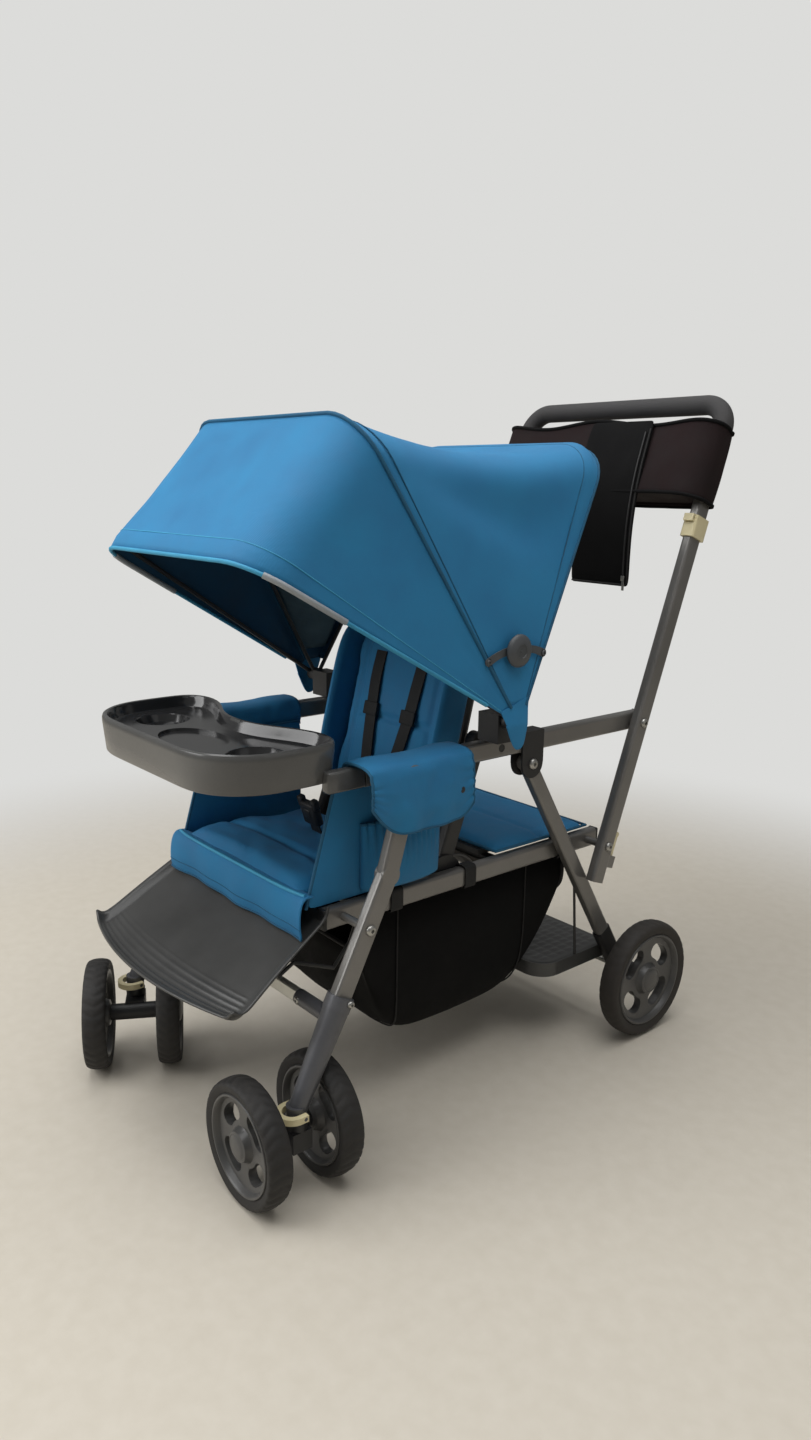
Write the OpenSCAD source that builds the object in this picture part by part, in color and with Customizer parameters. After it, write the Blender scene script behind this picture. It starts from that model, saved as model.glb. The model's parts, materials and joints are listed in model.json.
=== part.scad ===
// Tandem stroller: a front seat with canopy and snack tray, a rear bench with a standing
// platform, a four-bar folding frame, twin-wheel swivel casters and single rear wheels.
// +Z is up, the child faces -Y, and the stroller's left side is +X.
// The origin lies on the floor, in the middle plane.

/* [Frame tubes] */
// Width of a frame tube, across the stroller
tube_w = 18; // [15:1:22]
// Depth of a frame tube, in its own plane
tube_d = 30; // [25:1:34]
// Rounding of a frame tube's edges
tube_r = 5; // [2:1:7]
// Inner face of the seat rail, from the middle plane
rail_in = 166; // [160:1:176]
// Gap between neighbouring layers of tubes
layer_gap = 5; // [4.5:0.5:6]
// Height of the seat rail's centreline
seat_rail_z = 352; // [340:1:370]
// Rise of the arm rail above the seat rail
arm_rise = 200; // [180:1:220]
// How far each upper pivot sits behind the one below it
link_lean = 73; // [60:1:85]
// Distance from the front leg's pivot to the handle's pivot
rail_span = 512; // [490:1:530]
// Handle pivot, behind the middle of the stroller
handle_pivot_y = 228; // [215:1:240]
// Seat rail past the front leg's pivot
rail_front = 28; // [22:1:36]
// Seat rail past the handle's pivot
rail_rear = 23; // [20:1:32]
// Arm rail past the front leg's upper pivot
arm_front = 52; // [44:1:60]
// Arm rail past the handle's upper pivot
arm_rear = 18; // [16:1:24]
// Radius of the pivot pins
pin_r = 6; // [4.5:0.5:7]
// Running clearance of a pin in its bore
pin_fit = 0.25; // [0.15:0.05:0.3]

/* [Handle] */
// Handle length above its pivot, to the middle of the grip
handle_len = 764; // [700:1:800]
// Handle tube below its pivot
handle_tail = 62; // [50:1:66]
// Radius of the grip's bends
grip_bend = 44; // [36:1:52]
// Radius of the foam grip
grip_r = 16.5; // [13:0.5:19]
// Height of the organizer along the handle
organizer_h = 128; // [100:1:150]
// Gap between the foam grip's end and the organizer's top
organizer_drop = 2; // [1:1:30]
// Depth of the organizer in front of the tubes
organizer_d = 58; // [45:1:70]
// Organizer cloth thickness
organizer_t = 9; // [5:1:12]
// Width of the hanging pouch
pouch_w = 136; // [110:1:160]
// Length of the pouch below the organizer
pouch_drop = 165; // [120:1:170]
// Cloth thickness of the pouch
pouch_t = 7; // [4:1:10]
// Hook clip's height on the tube
clip_h = 36; // [26:1:44]
// Wall of the hook clip
clip_wall = 4; // [3:0.5:5]
// Gap between the organizer and the hook clip below it
clip_gap = 24; // [4:1:60]
// Latch lever length
latch_len = 46; // [36:1:54]

/* [Front legs and casters] */
// Inner face of the front leg, from the middle plane
leg_in = 226; // [222:1:232]
// Swivel axis in front of the front leg's pivot
swivel_ahead = 115; // [108:1:122]
// Height of the swivel barrel's lower face
barrel_z = 114; // [112:0.5:118]
// Height of the swivel barrel
barrel_h = 22; // [18:1:28]
// Radius of the swivel barrel
barrel_r = 14; // [13:0.5:15.5]
// Radius of the leg casting at its collar
collar_r = 19; // [18:0.5:22]
// Radius of the leg casting at its foot
foot_r = 13; // [12:0.5:13.5]
// Drop of the casting's collar below the front leg's pivot
collar_drop = 84; // [70:1:100]
// Length of the inward arm on the casting
cross_arm = 76; // [66:1:84]
// Radius of the inward arm
cross_arm_r = 11; // [9:0.5:12]
// Drop of the crossbar below the front leg's pivot
crossbar_drop = 112; // [104:1:124]
// Height of the crossbar
crossbar_h = 20; // [16:1:22]
// Thickness of the crossbar
crossbar_t = 12; // [9:1:14]
// Radius of a caster wheel
front_r = 87; // [82:0.5:88]
// Width of a caster wheel
front_w = 36; // [30:1:37]
// Distance between the wheels of one caster
pair_span = 112; // [110:1:118]
// Trail of the caster
trail = 30; // [24:1:32]
// Heading of the left caster's axle, from +X
left_heading = -91; // [-100:1:-80]
// Heading of the right caster's axle, from +X
right_heading = 60; // [50:1:80]
// Radius of the caster's swivel stem
stem_r = 8; // [6:0.5:9]
// Thickness of a swivel lock lever
lock_t = 9; // [6:0.5:9.5]
// Width of a swivel lock lever's band
lock_band = 8; // [6:0.5:10]

/* [Rear legs and wheels] */
// Rear axle behind the middle of the stroller
axle_y = 313; // [305:1:322]
// Radius of a rear wheel
rear_r = 101.6; // [96:0.1:104]
// Width of a rear wheel
rear_w = 36; // [30:1:40]
// Middle of a rear wheel, from the middle plane
rear_track = 255; // [254:1:262]
// Radius of the axles
axle_r = 5; // [4:0.5:6]
// Rear leg's pivot behind the middle of the stroller
rear_pivot_y = 56; // [48:1:64]
// Drop of the rear leg's pivot below the arm rail
rear_pivot_drop = 34; // [33:1:38]
// Depth of the rear leg's tube
rear_tube_d = 26; // [22:1:28]
// Length of the rear bracket along the leg
bracket_len = 98; // [92:1:110]
// Thickness of a hinge block's cheek
cheek_t = 3; // [2.5:0.5:3.5]

/* [Standing platform] */
// Height of the platform's top
platform_z = 150; // [145:1:158]
// Depth of the platform, front to back
platform_d = 172; // [150:1:180]
// Thickness of the platform
platform_t = 24; // [18:1:28]
// Wall of the platform's tray
platform_wall = 4; // [3:0.5:6]
// Radius of a platform brace rod
brace_r = 2.2; // [1.8:0.1:2.3]

/* [Seat] */
// Half width of the front seat cushion
cushion_hw = 192; // [185:1:198]
// Thickness of the front seat cushion
cushion_t = 32; // [24:1:36]
// Thickness of the seat boards
board_t = 8; // [6:1:10]
// Radius of the seat's cross tubes
cross_r = 8; // [6:0.5:9]
// Thickness of the rear bench pad
bench_t = 14; // [10:1:20]
// Depth of the rear bench pad
bench_d = 222; // [200:1:226]
// Half width of the rear bench pad
bench_hw = 179; // [170:1:183]
// Length of the calf flap
flap_len = 48; // [36:1:50]
// Cloth thickness of flaps and covers
cloth_t = 3; // [2:0.5:4]
// Length of the backrest
back_len = 318; // [290:1:335]
// Half width of the backrest
back_hw = 132; // [126:1:134]
// Thickness of the backrest cushion
back_t = 30; // [22:1:36]
// Lean of the backrest behind the vertical
back_angle = 14; // [10:1:18]
// Recline axis behind the middle of the stroller
recline_y = -57; // [-60:1:-50]
// Height of the recline axis above the seat rail's centreline
recline_up = 33; // [31:1:38]
// Radius of the backrest's frame tube
back_tube_r = 8; // [6:0.5:9]
// Post pivot in front of the middle of the stroller
post_y = -82; // [-86:1:-76]
// Height of a side panel above the seat cushion
side_h = 138; // [120:1:142]
// Gap between the armrest cover and the canopy mount behind it
cover_gap = 63; // [52:1:80]
// Drop of the armrest cover's outer flap
cover_drop = 92; // [70:1:105]
// Width of the harness webbing
strap_w = 25; // [20:1:28]
// Thickness of the harness webbing
strap_t = 2; // [1.5:0.5:3]

/* [Footrest] */
// Reach of the footrest's plate, front to back
footrest_d = 158; // [140:1:170]
// Drop of the footrest's plate over that reach
footrest_fall = 80; // [65:1:90]
// Half width of the footrest at its lip
footrest_hw = 204; // [196:1:210]
// Half width of the footrest at its top
footrest_top_hw = 186; // [182:1:190]
// Reach of the curved lip
lip_d = 34; // [24:1:42]
// Thickness of the footrest's wall
footrest_t = 4; // [3:0.5:6]
// Height of the footrest's side flange
flange_h = 16; // [10:1:20]

/* [Tray] */
// Half width of the snack tray
tray_hw = 200; // [185:1:205]
// Depth of the snack tray
tray_d = 196; // [170:1:205]
// Height of the tray's skirt
tray_h = 54; // [44:1:58]
// Wall of the tray
tray_wall = 5; // [4:0.5:7]
// Depth of the tray's dish
dish_depth = 18; // [12:1:22]
// Radius of a cup well
cup_r = 38; // [30:1:42]
// Radius of a tray peg
peg_r = 6.5; // [5:0.5:8]
// Length of a tray peg in the arm rail
peg_len = 36; // [24:1:40]

/* [Canopy] */
// Canopy pivot behind the middle of the stroller
canopy_y = -27; // [-32:1:-22]
// Height of the canopy pivot above the arm rail
canopy_up = 48; // [44:1:52]
// Radius of the bow wire
bow_r = 3.5; // [3:0.25:3.75]
// Length of the rear bow
rear_bow_len = 440; // [415:1:455]
// Length of the middle bow
mid_bow_len = 482; // [462:1:495]
// Length of the front bow
front_bow_len = 470; // [450:1:485]
// Lean of the rear bow behind the vertical
rear_bow_angle = 27; // [24:1:30]
// Lean of the middle bow in front of the vertical
mid_bow_angle = 31.5; // [29:0.5:34]
// Lean of the front bow in front of the vertical
front_bow_angle = 57.5; // [55.5:0.5:60]
// Radius of the bows' bends
bow_bend = 62; // [50:1:75]
// Sag of the cloth between the rear and the middle bow
canopy_sag = 36; // [18:1:46]
// Radius of the stay's round knob
knob_r = 24; // [18:0.5:27]
// Distance from the canopy pivot to a stay's end
stay_r = 110; // [100:1:120]
// Width of a stay arm
stay_w = 12; // [9:0.5:14]

/* [Basket] */
// Height of the basket's lowest cloth
basket_z = 84; // [80:1:130]
// Half width of the basket
basket_hw = 156; // [146:1:160]
// Gap between an end of the basket's rim and the pivot over it
basket_gap = 36; // [28:1:52]

/* [Hidden] */
$fn = 32;

// Clearances and small sizes
cut = 1;
seat_gap = 0.2;
run_gap = 0.5;
end_grow = 0.3;
end_past = 3;

// Tube layers, inner faces from the middle plane outwards
post_in = rail_in - layer_gap - tube_w;
arm_in = rail_in + tube_w + layer_gap;
handle_in = arm_in + tube_w + layer_gap;
bow_in = handle_in + tube_w + 2 * run_gap;

// Pivots of the four-bar frame, as [y, z]
link = [link_lean, arm_rise];
handle_low = [handle_pivot_y, seat_rail_z];
handle_high = handle_low + link;
leg_low = handle_low - [rail_span, 0];
leg_high = leg_low + link;
post_low = [post_y, seat_rail_z];
post_high = post_low + link;
arm_z = seat_rail_z + arm_rise;
rear_pivot = [rear_pivot_y, arm_z - rear_pivot_drop];
axle = [axle_y, rear_r];
recline = [recline_y, seat_rail_z + recline_up];
canopy_pivot = [canopy_y, arm_z + canopy_up];
swivel_y = leg_low[0] - swivel_ahead;
swivel_x = leg_in + tube_w / 2;
link_dir = link / norm(link);
link_tilt = -atan2(link[0], link[1]);
leg_foot = [swivel_y, barrel_z + barrel_h / 2];
leg_dir = (leg_foot - leg_low) / norm(leg_foot - leg_low);
collar_at = leg_low + leg_dir * (collar_drop / -leg_dir[1]);
crossbar_at = leg_low + leg_dir * (crossbar_drop / -leg_dir[1]);
leg_bend_share = 0.36;
leg_bend = leg_low - leg_dir * norm(link) * leg_bend_share;
leg_dir_rear = (axle - rear_pivot) / norm(axle - rear_pivot);
rear_len = norm(axle - rear_pivot);
seat_top = seat_rail_z + cross_r + board_t;
cushion_front = leg_low[0] - rail_front - cushion_t - run_gap;
arm_end = leg_high[0] - arm_front;
tray_stand = 24;
tray_back = arm_end - tray_stand;

// Shared outlines and solids

// Outline of a rectangle with rounded corners, three facets to a corner
function rounded(w, d, r, n = 3) = [
    for (q = [0:3], k = [0:n])
        let (a = q * 90 + k * 90 / n, sx = q == 0 || q == 3 ? 1 : -1, sy = q < 2 ? 1 : -1)
            [sx * (w / 2 - r) + r * cos(a), sy * (d / 2 - r) + r * sin(a)]
];

// Straight frame tube from p to q in a layer whose inner face is at x
module tube(p, q, x, w = tube_w, d = tube_d, r = tube_r)
    translate([x + w / 2, p[0], p[1]])
        rotate([-atan2(q[0] - p[0], q[1] - p[1]), 0, 0])
            linear_extrude(norm(q - p)) polygon(rounded(w, d, r));

// Round rod across the stroller, from x to x + len, at a point of the side view
module cross_rod(x, p, len, r)
    translate([x, p[0], p[1]]) rotate([0, 90, 0]) cylinder(h = len, r = r);

// Round rod between two points in space
module rod(p, q, r)
    let (v = q - p)
        translate(p) rotate([0, acos(v[2] / norm(v)), atan2(v[1], v[0])]) cylinder(h = norm(v), r = r);

// Plate cut from an outline of the side view, from x to x + t
module side_plate(x, t)
    translate([x, 0, 0]) rotate([90, 0, 90]) linear_extrude(t) children();

// The children on the left and mirrored on the right
module both() {
    children();
    mirror([1, 0, 0]) children();
}

// Child turned about an axis along X through a point of the side view
module turned(p, a)
    translate([0, p[0], p[1]]) rotate([a, 0, 0]) translate([0, -p[0], -p[1]]) children();

// Closed cloth or cushion between two grids of points with the same rows
module skin(a, b) {
    n = len(a);
    m = len(a[0]);
    o = n * m;
    polyhedron(
        points = concat([for (r = a) each r], [for (r = b) each r]),
        faces = concat(
            [for (i = [0:n - 2], j = [0:m - 2]) [i * m + j, i * m + m + j, i * m + m + j + 1]],
            [for (i = [0:n - 2], j = [0:m - 2]) [i * m + j, i * m + m + j + 1, i * m + j + 1]],
            [for (i = [0:n - 2], j = [0:m - 2])
                [o + i * m + j, o + i * m + m + j + 1, o + i * m + m + j]],
            [for (i = [0:n - 2], j = [0:m - 2])
                [o + i * m + j, o + i * m + j + 1, o + i * m + m + j + 1]],
            [for (j = [0:m - 2]) each [[j, j + 1, o + j + 1], [j, o + j + 1, o + j]]],
            [for (j = [0:m - 2]) let (k = (n - 1) * m + j)
                each [[k, o + k + 1, k + 1], [k, o + k, o + k + 1]]],
            [for (i = [0:n - 2]) let (k = i * m)
                each [[k + m, k, o + k], [k + m, o + k, o + k + m]]],
            [for (i = [0:n - 2]) let (k = i * m + m - 1)
                each [[k, k + m, o + k + m], [k, o + k + m, o + k]]]
        ),
        convexity = 8
    );
}

// Round wire along a path in the upright plane, as one closed tube of eight sides
wire_sides = 8;
bend_steps = 6;
module wire(path, r) {
    n = len(path);
    function dir(k) = let (d = path[min(k + 1, n - 1)] - path[max(k - 1, 0)]) d / norm(d);
    function ring(k) = [for (q = [0:wire_sides - 1]) let (a = q * 360 / wire_sides, d = dir(k))
        [path[k][0] - d[1] * r * cos(a), r * sin(a), path[k][1] + d[0] * r * cos(a)]];
    polyhedron(
        points = [for (k = [0:n - 1]) each ring(k)],
        faces = concat(
            [[for (q = [wire_sides - 1:-1:0]) q]],
            [for (k = [0:n - 2], q = [0:wire_sides - 1])
                let (a = k * wire_sides + q, b = k * wire_sides + (q + 1) % wire_sides)
                    each [[a, b + wire_sides, a + wire_sides], [a, b, b + wire_sides]]],
            [[for (q = [0:wire_sides - 1]) (n - 1) * wire_sides + q]]
        ),
        convexity = 6
    );
}

// Seat frame

module seat_rails() color("#4a4947") both() difference() {
    union() {
        tube(leg_low - [rail_front, 0], handle_low + [rail_rear, 0], rail_in);
        cross_rod(rail_in + tube_w / 2, leg_low, leg_in + tube_w / 2 - rail_in, pin_r);
        cross_rod(rail_in + tube_w / 2, handle_low, handle_in + tube_w / 2 - rail_in, pin_r);
    }
    cross_rod(rail_in - cut, post_low, tube_w / 2 + cut, pin_r + pin_fit);
}

cross_past_leg = 41;
cross_ahead = 53;
cross_bench = 194;
cross_rear = 26;
module seat_cross_tubes() color("#333333")
    for (y = [leg_low[0] + cross_past_leg, post_y - cross_ahead, handle_low[0] - cross_bench,
        handle_low[0] - cross_rear])
        cross_rod(-rail_in, [y, seat_rail_z], 2 * rail_in, cross_r);

housing_r = 36;
module pivot_housings() color("#262626") both() intersection() {
    union() {
        cross_rod(rail_in - layer_gap + run_gap, post_low, layer_gap - run_gap, housing_r);
        cross_rod(post_in + run_gap, post_low, rail_in + tube_w / 2 - post_in - 2 * run_gap, pin_r);
    }
    translate([0, post_low[0] - housing_r, post_low[1] - tube_d / 2])
        cube([rail_in + tube_w, 2 * housing_r, 2 * housing_r]);
}

lug_in = 112;
lug_t = 5;
lug_r = 13;
board_gap = 3;
board_hw = post_in - board_gap;
board_rear = post_y - tube_d;
bench_front = 15;
module board(y0, y1)
    translate([-board_hw, y0, seat_rail_z + cross_r]) cube([2 * board_hw, y1 - y0, board_t]);
module seat_boards() color("#2d2d2d") {
    board(leg_low[0] - rail_front + run_gap, board_rear);
    board(bench_front, handle_low[0]);
    both() difference() {
        union() {
            cross_rod(lug_in, recline, lug_t, lug_r);
            translate([lug_in, board_rear - lug_r, seat_rail_z + cross_r])
                cube([lug_t, recline[0] - board_rear + lug_r, board_t]);
            translate([lug_in, recline[0] - lug_r, seat_rail_z + cross_r])
                cube([lug_t, 2 * lug_r, recline_up - cross_r]);
        }
        cross_rod(lug_in - cut, recline, lug_t + 2 * cut, recline_pin_r + pin_fit);
    }
}

// Height of a cushion's upper face, over shares of its half width and depth
function crown(u, v, t, n = 4) = t * pow(max(0, (1 - pow(abs(u), 2 * n)) * (1 - pow(abs(v), 2 * n))), 1 / 2);
cushion_rows = 14;
cushion_cols = 18;
edge_share = 0.3;
channel_share = 0.16;
cushion_waist = board_hw;
waist_share = 0.58;
waist_ramp = 34;
waist_y = post_y - waist_share * link[1];
// Half width of the front cushion: narrow beside the posts, wide in front of them
function seat_hw(y) =
    cushion_waist + (cushion_hw - cushion_waist) * max(0, min(1, (waist_y - y) / waist_ramp));
module seat_cushion() {
    rows = [for (i = [0:cushion_rows]) i / cushion_rows * 2 - 1];
    cols = [for (j = [0:cushion_cols]) j / cushion_cols * 2 - 1];
    depth = board_rear - cushion_front;
    function at(u, v, up) = let (y = cushion_front + depth * (v + 1) / 2)
        [u * seat_hw(y), y, up];
    color("#1a6f9c") skin(
        [for (v = rows) [for (u = cols) at(u, v, seat_top + seat_gap
            + cushion_t * edge_share + crown(u, v, cushion_t * (1 - edge_share))
            - cushion_t * channel_share * exp(-pow((v + edge_share) / channel_share, 2)))]],
        [for (v = rows) [for (u = cols) at(u, v, seat_top + seat_gap)]]
    );
}

flap_cols = 16;
flap_rows = 4;
flap_wave = 4;
flap_waves = 1.5;
flap_hw = footrest_top_hw - 2 * footrest_t;
module calf_flap() {
    y0 = cushion_front - cloth_t - seat_gap;
    top = seat_top + cushion_t * edge_share;
    function at(u, s, back) = [
        u * flap_hw,
        y0 + back * cloth_t - flap_wave * (1 - s) * (1 + cos(360 * flap_waves * u)) / 2,
        top - flap_len * (1 - s)
    ];
    color("#1a6f9c") skin(
        [for (i = [0:flap_rows]) [for (j = [0:flap_cols]) at(2 * j / flap_cols - 1, i / flap_rows, 0)]],
        [for (i = [0:flap_rows]) [for (j = [0:flap_cols]) at(2 * j / flap_cols - 1, i / flap_rows, 1)]]
    );
}

module bench_pad() {
    n = 10;
    function at(u, v, up) = [u * bench_hw, bench_front + bench_d * (v + 1) / 2, seat_top + seat_gap + up];
    color("#1a6f9c") skin(
        [for (i = [0:n]) [for (j = [0:n]) let (u = 2 * j / n - 1, v = 2 * i / n - 1)
            at(u, v, bench_t * edge_share + crown(u, v, bench_t * (1 - edge_share)))]],
        [for (i = [0:n]) [for (j = [0:n]) at(2 * j / n - 1, 2 * i / n - 1, 0)]]
    );
}

footrest_back = leg_low[0] - rail_front - seat_gap;
footrest_top = seat_rail_z - tube_d / 2 + footrest_t;
// Side view of the footrest, raised by h from its underside
function footrest_side(h) = [
    [footrest_back, footrest_top + h],
    [footrest_back - footrest_d, footrest_top - footrest_fall + h],
    [footrest_back - footrest_d - lip_d, footrest_top - footrest_fall - footrest_t / 2 + h],
];
module footrest_plan(inset) {
    w0 = footrest_top_hw - inset;
    w1 = footrest_hw - inset;
    y1 = footrest_back - footrest_d;
    intersection() {
        polygon([[-w0, footrest_back - inset], [w0, footrest_back - inset], [w1, y1], [w1, y1 - lip_d],
            [-w1, y1 - lip_d], [-w1, y1]]);
        translate([0, y1 - lip_d + lip_round + inset]) circle(r = lip_round, $fn = 96);
    }
}
lip_round = 620;
module footrest_slab(lo, hi)
    side_plate(-footrest_hw, 2 * footrest_hw)
        polygon(concat(footrest_side(lo), [for (k = [2:-1:0]) footrest_side(hi)[k]]));
module footrest() color("#3a3b3c") {
    difference() {
        intersection() {
            footrest_slab(0, flange_h);
            translate([0, 0, footrest_top - 2 * footrest_fall])
                linear_extrude(4 * footrest_fall) footrest_plan(0);
        }
        intersection() {
            footrest_slab(footrest_t, 2 * flange_h);
            translate([0, 0, footrest_top - 2 * footrest_fall])
                linear_extrude(4 * footrest_fall) footrest_plan(footrest_t);
        }
    }
    translate([-footrest_top_hw, footrest_back - footrest_t, footrest_top])
        cube([2 * footrest_top_hw, footrest_t, tube_d - 2 * footrest_t]);
}

wire_r = 3;
wire_drop = 62;
// Bent wire from under the seat rail to the underside of the footrest's plate
module footrest_wires() color("#6b6c6d") {
    top = [leg_low[0] + rail_front, seat_rail_z - tube_d / 2 - seat_gap / 2];
    end = (footrest_side(0)[0] + footrest_side(0)[1]) / 2;
    slope = footrest_side(0)[1] - footrest_side(0)[0];
    up = [slope[1], -slope[0]] / norm(slope);
    foot = end - up * seat_gap / 2;
    low = foot - up * 4 * wire_r;
    both() translate([rail_in + tube_w / 2, 0, 0]) rotate([0, 0, 90]) wire([
        top,
        top - [0, 2 * wire_r],
        top - [wire_drop / 6, wire_drop / 2],
        [top[0] + (low[0] - top[0]) * edge_share, top[1] - wire_drop],
        low - [slope[0], slope[1]] * channel_share,
        low,
        foot,
    ], wire_r);
}

basket_rows = 12;
basket_cols = 20;
basket_d = rail_span - 2 * basket_gap;
basket_rim = seat_rail_z - tube_d / 2 - 2 * end_grow;
basket_mid = leg_low[0] + rail_span / 2;
basket_end_share = 0.68;
basket_bow_share = 0.18;
basket_ramp = 220;
basket_side_share = 0.4;
basket_floor_share = 0.3;
// Point of the basket's cloth: u runs across, v runs from the rear end to the front end
function basket_at(u, v, inset) =
    let (a = u * 90, e = pow(max(0, 1 - (1 - abs(v)) * basket_d / 2 / basket_ramp), 5),
         hw = basket_hw + (rail_in - basket_hw) * e - inset,
         low = basket_z + (basket_rim - basket_z) * e * basket_end_share + inset)
        [hw * sign(a) * pow(abs(sin(a)), basket_side_share),
         basket_mid - v * (basket_d / 2 - inset) * (1 - basket_bow_share * pow(cos(a), 2)),
         basket_rim - (basket_rim - low) * pow(abs(cos(a)), basket_floor_share)];
module basket() color("#161616") skin(
    [for (i = [0:basket_rows]) [for (j = [0:basket_cols])
        basket_at(2 * j / basket_cols - 1, 2 * i / basket_rows - 1, 0)]],
    [for (i = [0:basket_rows]) [for (j = [0:basket_cols])
        basket_at(2 * j / basket_cols - 1, 2 * i / basket_rows - 1, cloth_t)]]
);

buckle_w = 38;
buckle_h = 46;
buckle_t = 16;
crotch_y = -185;
buckle_angle = 18;
module buckle() color("#1b1b1b") difference() {
    translate([0, crotch_y, seat_top]) rotate([buckle_angle, 0, 0]) {
        translate([0, 0, cushion_t + buckle_t]) linear_extrude(buckle_h)
            polygon(rounded(buckle_w, buckle_t, buckle_t / 3));
        translate([-strap_w / 2, -strap_t / 2, board_t])
            cube([strap_w, strap_t, cushion_t + buckle_t - board_t + cut]);
    }
    seat_cushion();
}

side_rows = 6;
side_cols = 12;
side_set = 2;
side_x = rail_in - side_set;
side_t = 12;
side_rear = post_y - tube_d;
side_lean = 40;
// Outer and inner face of a padded side panel, bulging in the middle
module seat_sides() {
    z0 = seat_top + cushion_t + run_gap;
    function at(s, v, k) = [
        side_x + side_t / 2
            + k * side_t / 2 * (edge_share + (1 - edge_share) * sqrt(sin(180 * s) * sin(180 * v))),
        side_rear - (side_rear - tray_back + side_lean * (1 - s)) * (1 - v),
        z0 + side_h * s
    ];
    color("#1a6f9c") both() skin(
        [for (i = [0:side_rows]) [for (j = [0:side_cols]) at(i / side_rows, j / side_cols, 1)]],
        [for (i = [0:side_rows]) [for (j = [0:side_cols]) at(i / side_rows, j / side_cols, -1)]]
    );
}

// Backrest

recline_pin_r = 5;
eye_in = lug_in + lug_t + run_gap;
eye_t = 16;
bracket_in = eye_in + eye_t + run_gap;
bracket_t = 4;
bracket_r = 14;
module recline_brackets() color("#2b2b2b") both() {
    cross_rod(bracket_in, recline, bracket_t, bracket_r);
    cross_rod(lug_in - cut, recline, bracket_in - lug_in + cut, recline_pin_r);
}

back_eye_r = 11;
back_bar_x = eye_in + eye_t / 2;
back_bend = 40;
module backrest_frame() color("#3c3c3c") difference() {
    half = concat(
        [[back_bar_x, recline_pin_r + 2 * pin_fit]],
        [for (k = [0:bend_steps]) let (a = 90 * k / bend_steps)
            [back_bar_x - back_bend + back_bend * cos(a), back_len - back_bend + back_bend * sin(a)]]
    );
    last = len(half) - 1;
    union() {
        translate([0, recline[0], recline[1]]) rotate([-back_angle, 0, 0])
            wire(concat(half, [for (k = [last:-1:0]) [-half[k][0], half[k][1]]]), back_tube_r);
        both() cross_rod(eye_in, recline, eye_t, back_eye_r);
    }
    both() cross_rod(eye_in - cut, recline, eye_t + 2 * cut, recline_pin_r + pin_fit);
}

back_rows = 14;
back_cols = 12;
back_foot = 34;
seam_share = 0.5;
module backrest_cushion() {
    function at(u, s, f) = [u * back_hw,
        recline[0] - back_tube_r - seat_gap - f,
        recline[1] + back_foot + (back_len + back_tube_r - back_foot) * s];
    color("#1a6f9c") turned(recline, -back_angle) skin(
        [for (i = [0:back_rows]) [for (j = [0:back_cols])
            let (u = 2 * j / back_cols - 1, s = i / back_rows)
                at(u, s, back_t * edge_share + crown(u, 2 * s - 1, back_t * (1 - edge_share))
                    - back_t * channel_share * exp(-pow((s - seam_share) / channel_share, 2)))]],
        [for (i = [0:back_rows]) [for (j = [0:back_cols]) at(2 * j / back_cols - 1, i / back_rows, 0)]]
    );
}

strap_x = 52;
strap_foot_share = 0.16;
strap_top_share = 0.86;
module harness() color("#151515") difference() {
    turned(recline, -back_angle) both()
        translate([strap_x - strap_w / 2, recline[0] - back_tube_r - back_t - 2 * strap_t,
            recline[1] + back_len * strap_foot_share])
            cube([strap_w, back_t, back_len * (strap_top_share - strap_foot_share)]);
    backrest_cushion();
}

// Handle

grip_low = handle_len - grip_bend;
handle_mid = handle_in + tube_w / 2;
latch_pin_r = 3;
latch_up = -24;
latch_reach = 9;
latch_back = tube_d / 2 + latch_reach;
latch_rim = 2;
// Children placed on the handle's own line, with z along the tube from its pivot
module on_handle()
    translate([0, handle_low[0], handle_low[1]]) rotate([link_tilt, 0, 0]) children();
lug_half = 10;
module handle_tubes() color("#55534f") both() {
    difference() {
        on_handle() {
            translate([handle_mid, 0, -handle_tail])
                linear_extrude(handle_tail + grip_low) polygon(rounded(tube_w, tube_d, tube_r));
            translate([handle_in + run_gap, 0, latch_up - lug_half])
                cube([tube_w - 2 * run_gap, latch_back + latch_pin_r, 2 * lug_half]);
        }
        cross_rod(handle_in - cut, handle_low, tube_w + 2 * cut, pin_r + pin_fit);
        cross_rod(handle_in - cut, handle_high, tube_w + 2 * cut, pin_r + pin_fit);
        on_handle() translate([handle_in + latch_slot, tube_d / 2 + run_gap, latch_up - lug_half - cut])
            cube([tube_w - 2 * latch_slot, latch_back + tube_d, 2 * lug_half + 2 * cut]);
    }
    on_handle() translate([handle_in + run_gap, latch_back - latch_pin_r, latch_up]) rotate([0, 90, 0])
        cylinder(h = tube_w - 2 * run_gap, r = latch_pin_r / 2);
}
latch_slot = 4.5;

module grip_foam() color("#3d3e40") on_handle() {
    both() {
        translate([handle_mid - grip_bend, 0, grip_low]) rotate([90, 0, 0])
            rotate_extrude(angle = 90) translate([grip_bend, 0]) circle(r = grip_r);
    }
    translate([-handle_mid + grip_bend, 0, handle_len]) rotate([0, 90, 0])
        cylinder(h = 2 * (handle_mid - grip_bend), r = grip_r);
}

organizer_top = grip_low - organizer_drop;
organizer_low = organizer_top - organizer_h;
organizer_hw = handle_in + tube_w + organizer_t + seat_gap;
organizer_back = tube_d / 2 + seat_gap;
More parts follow.
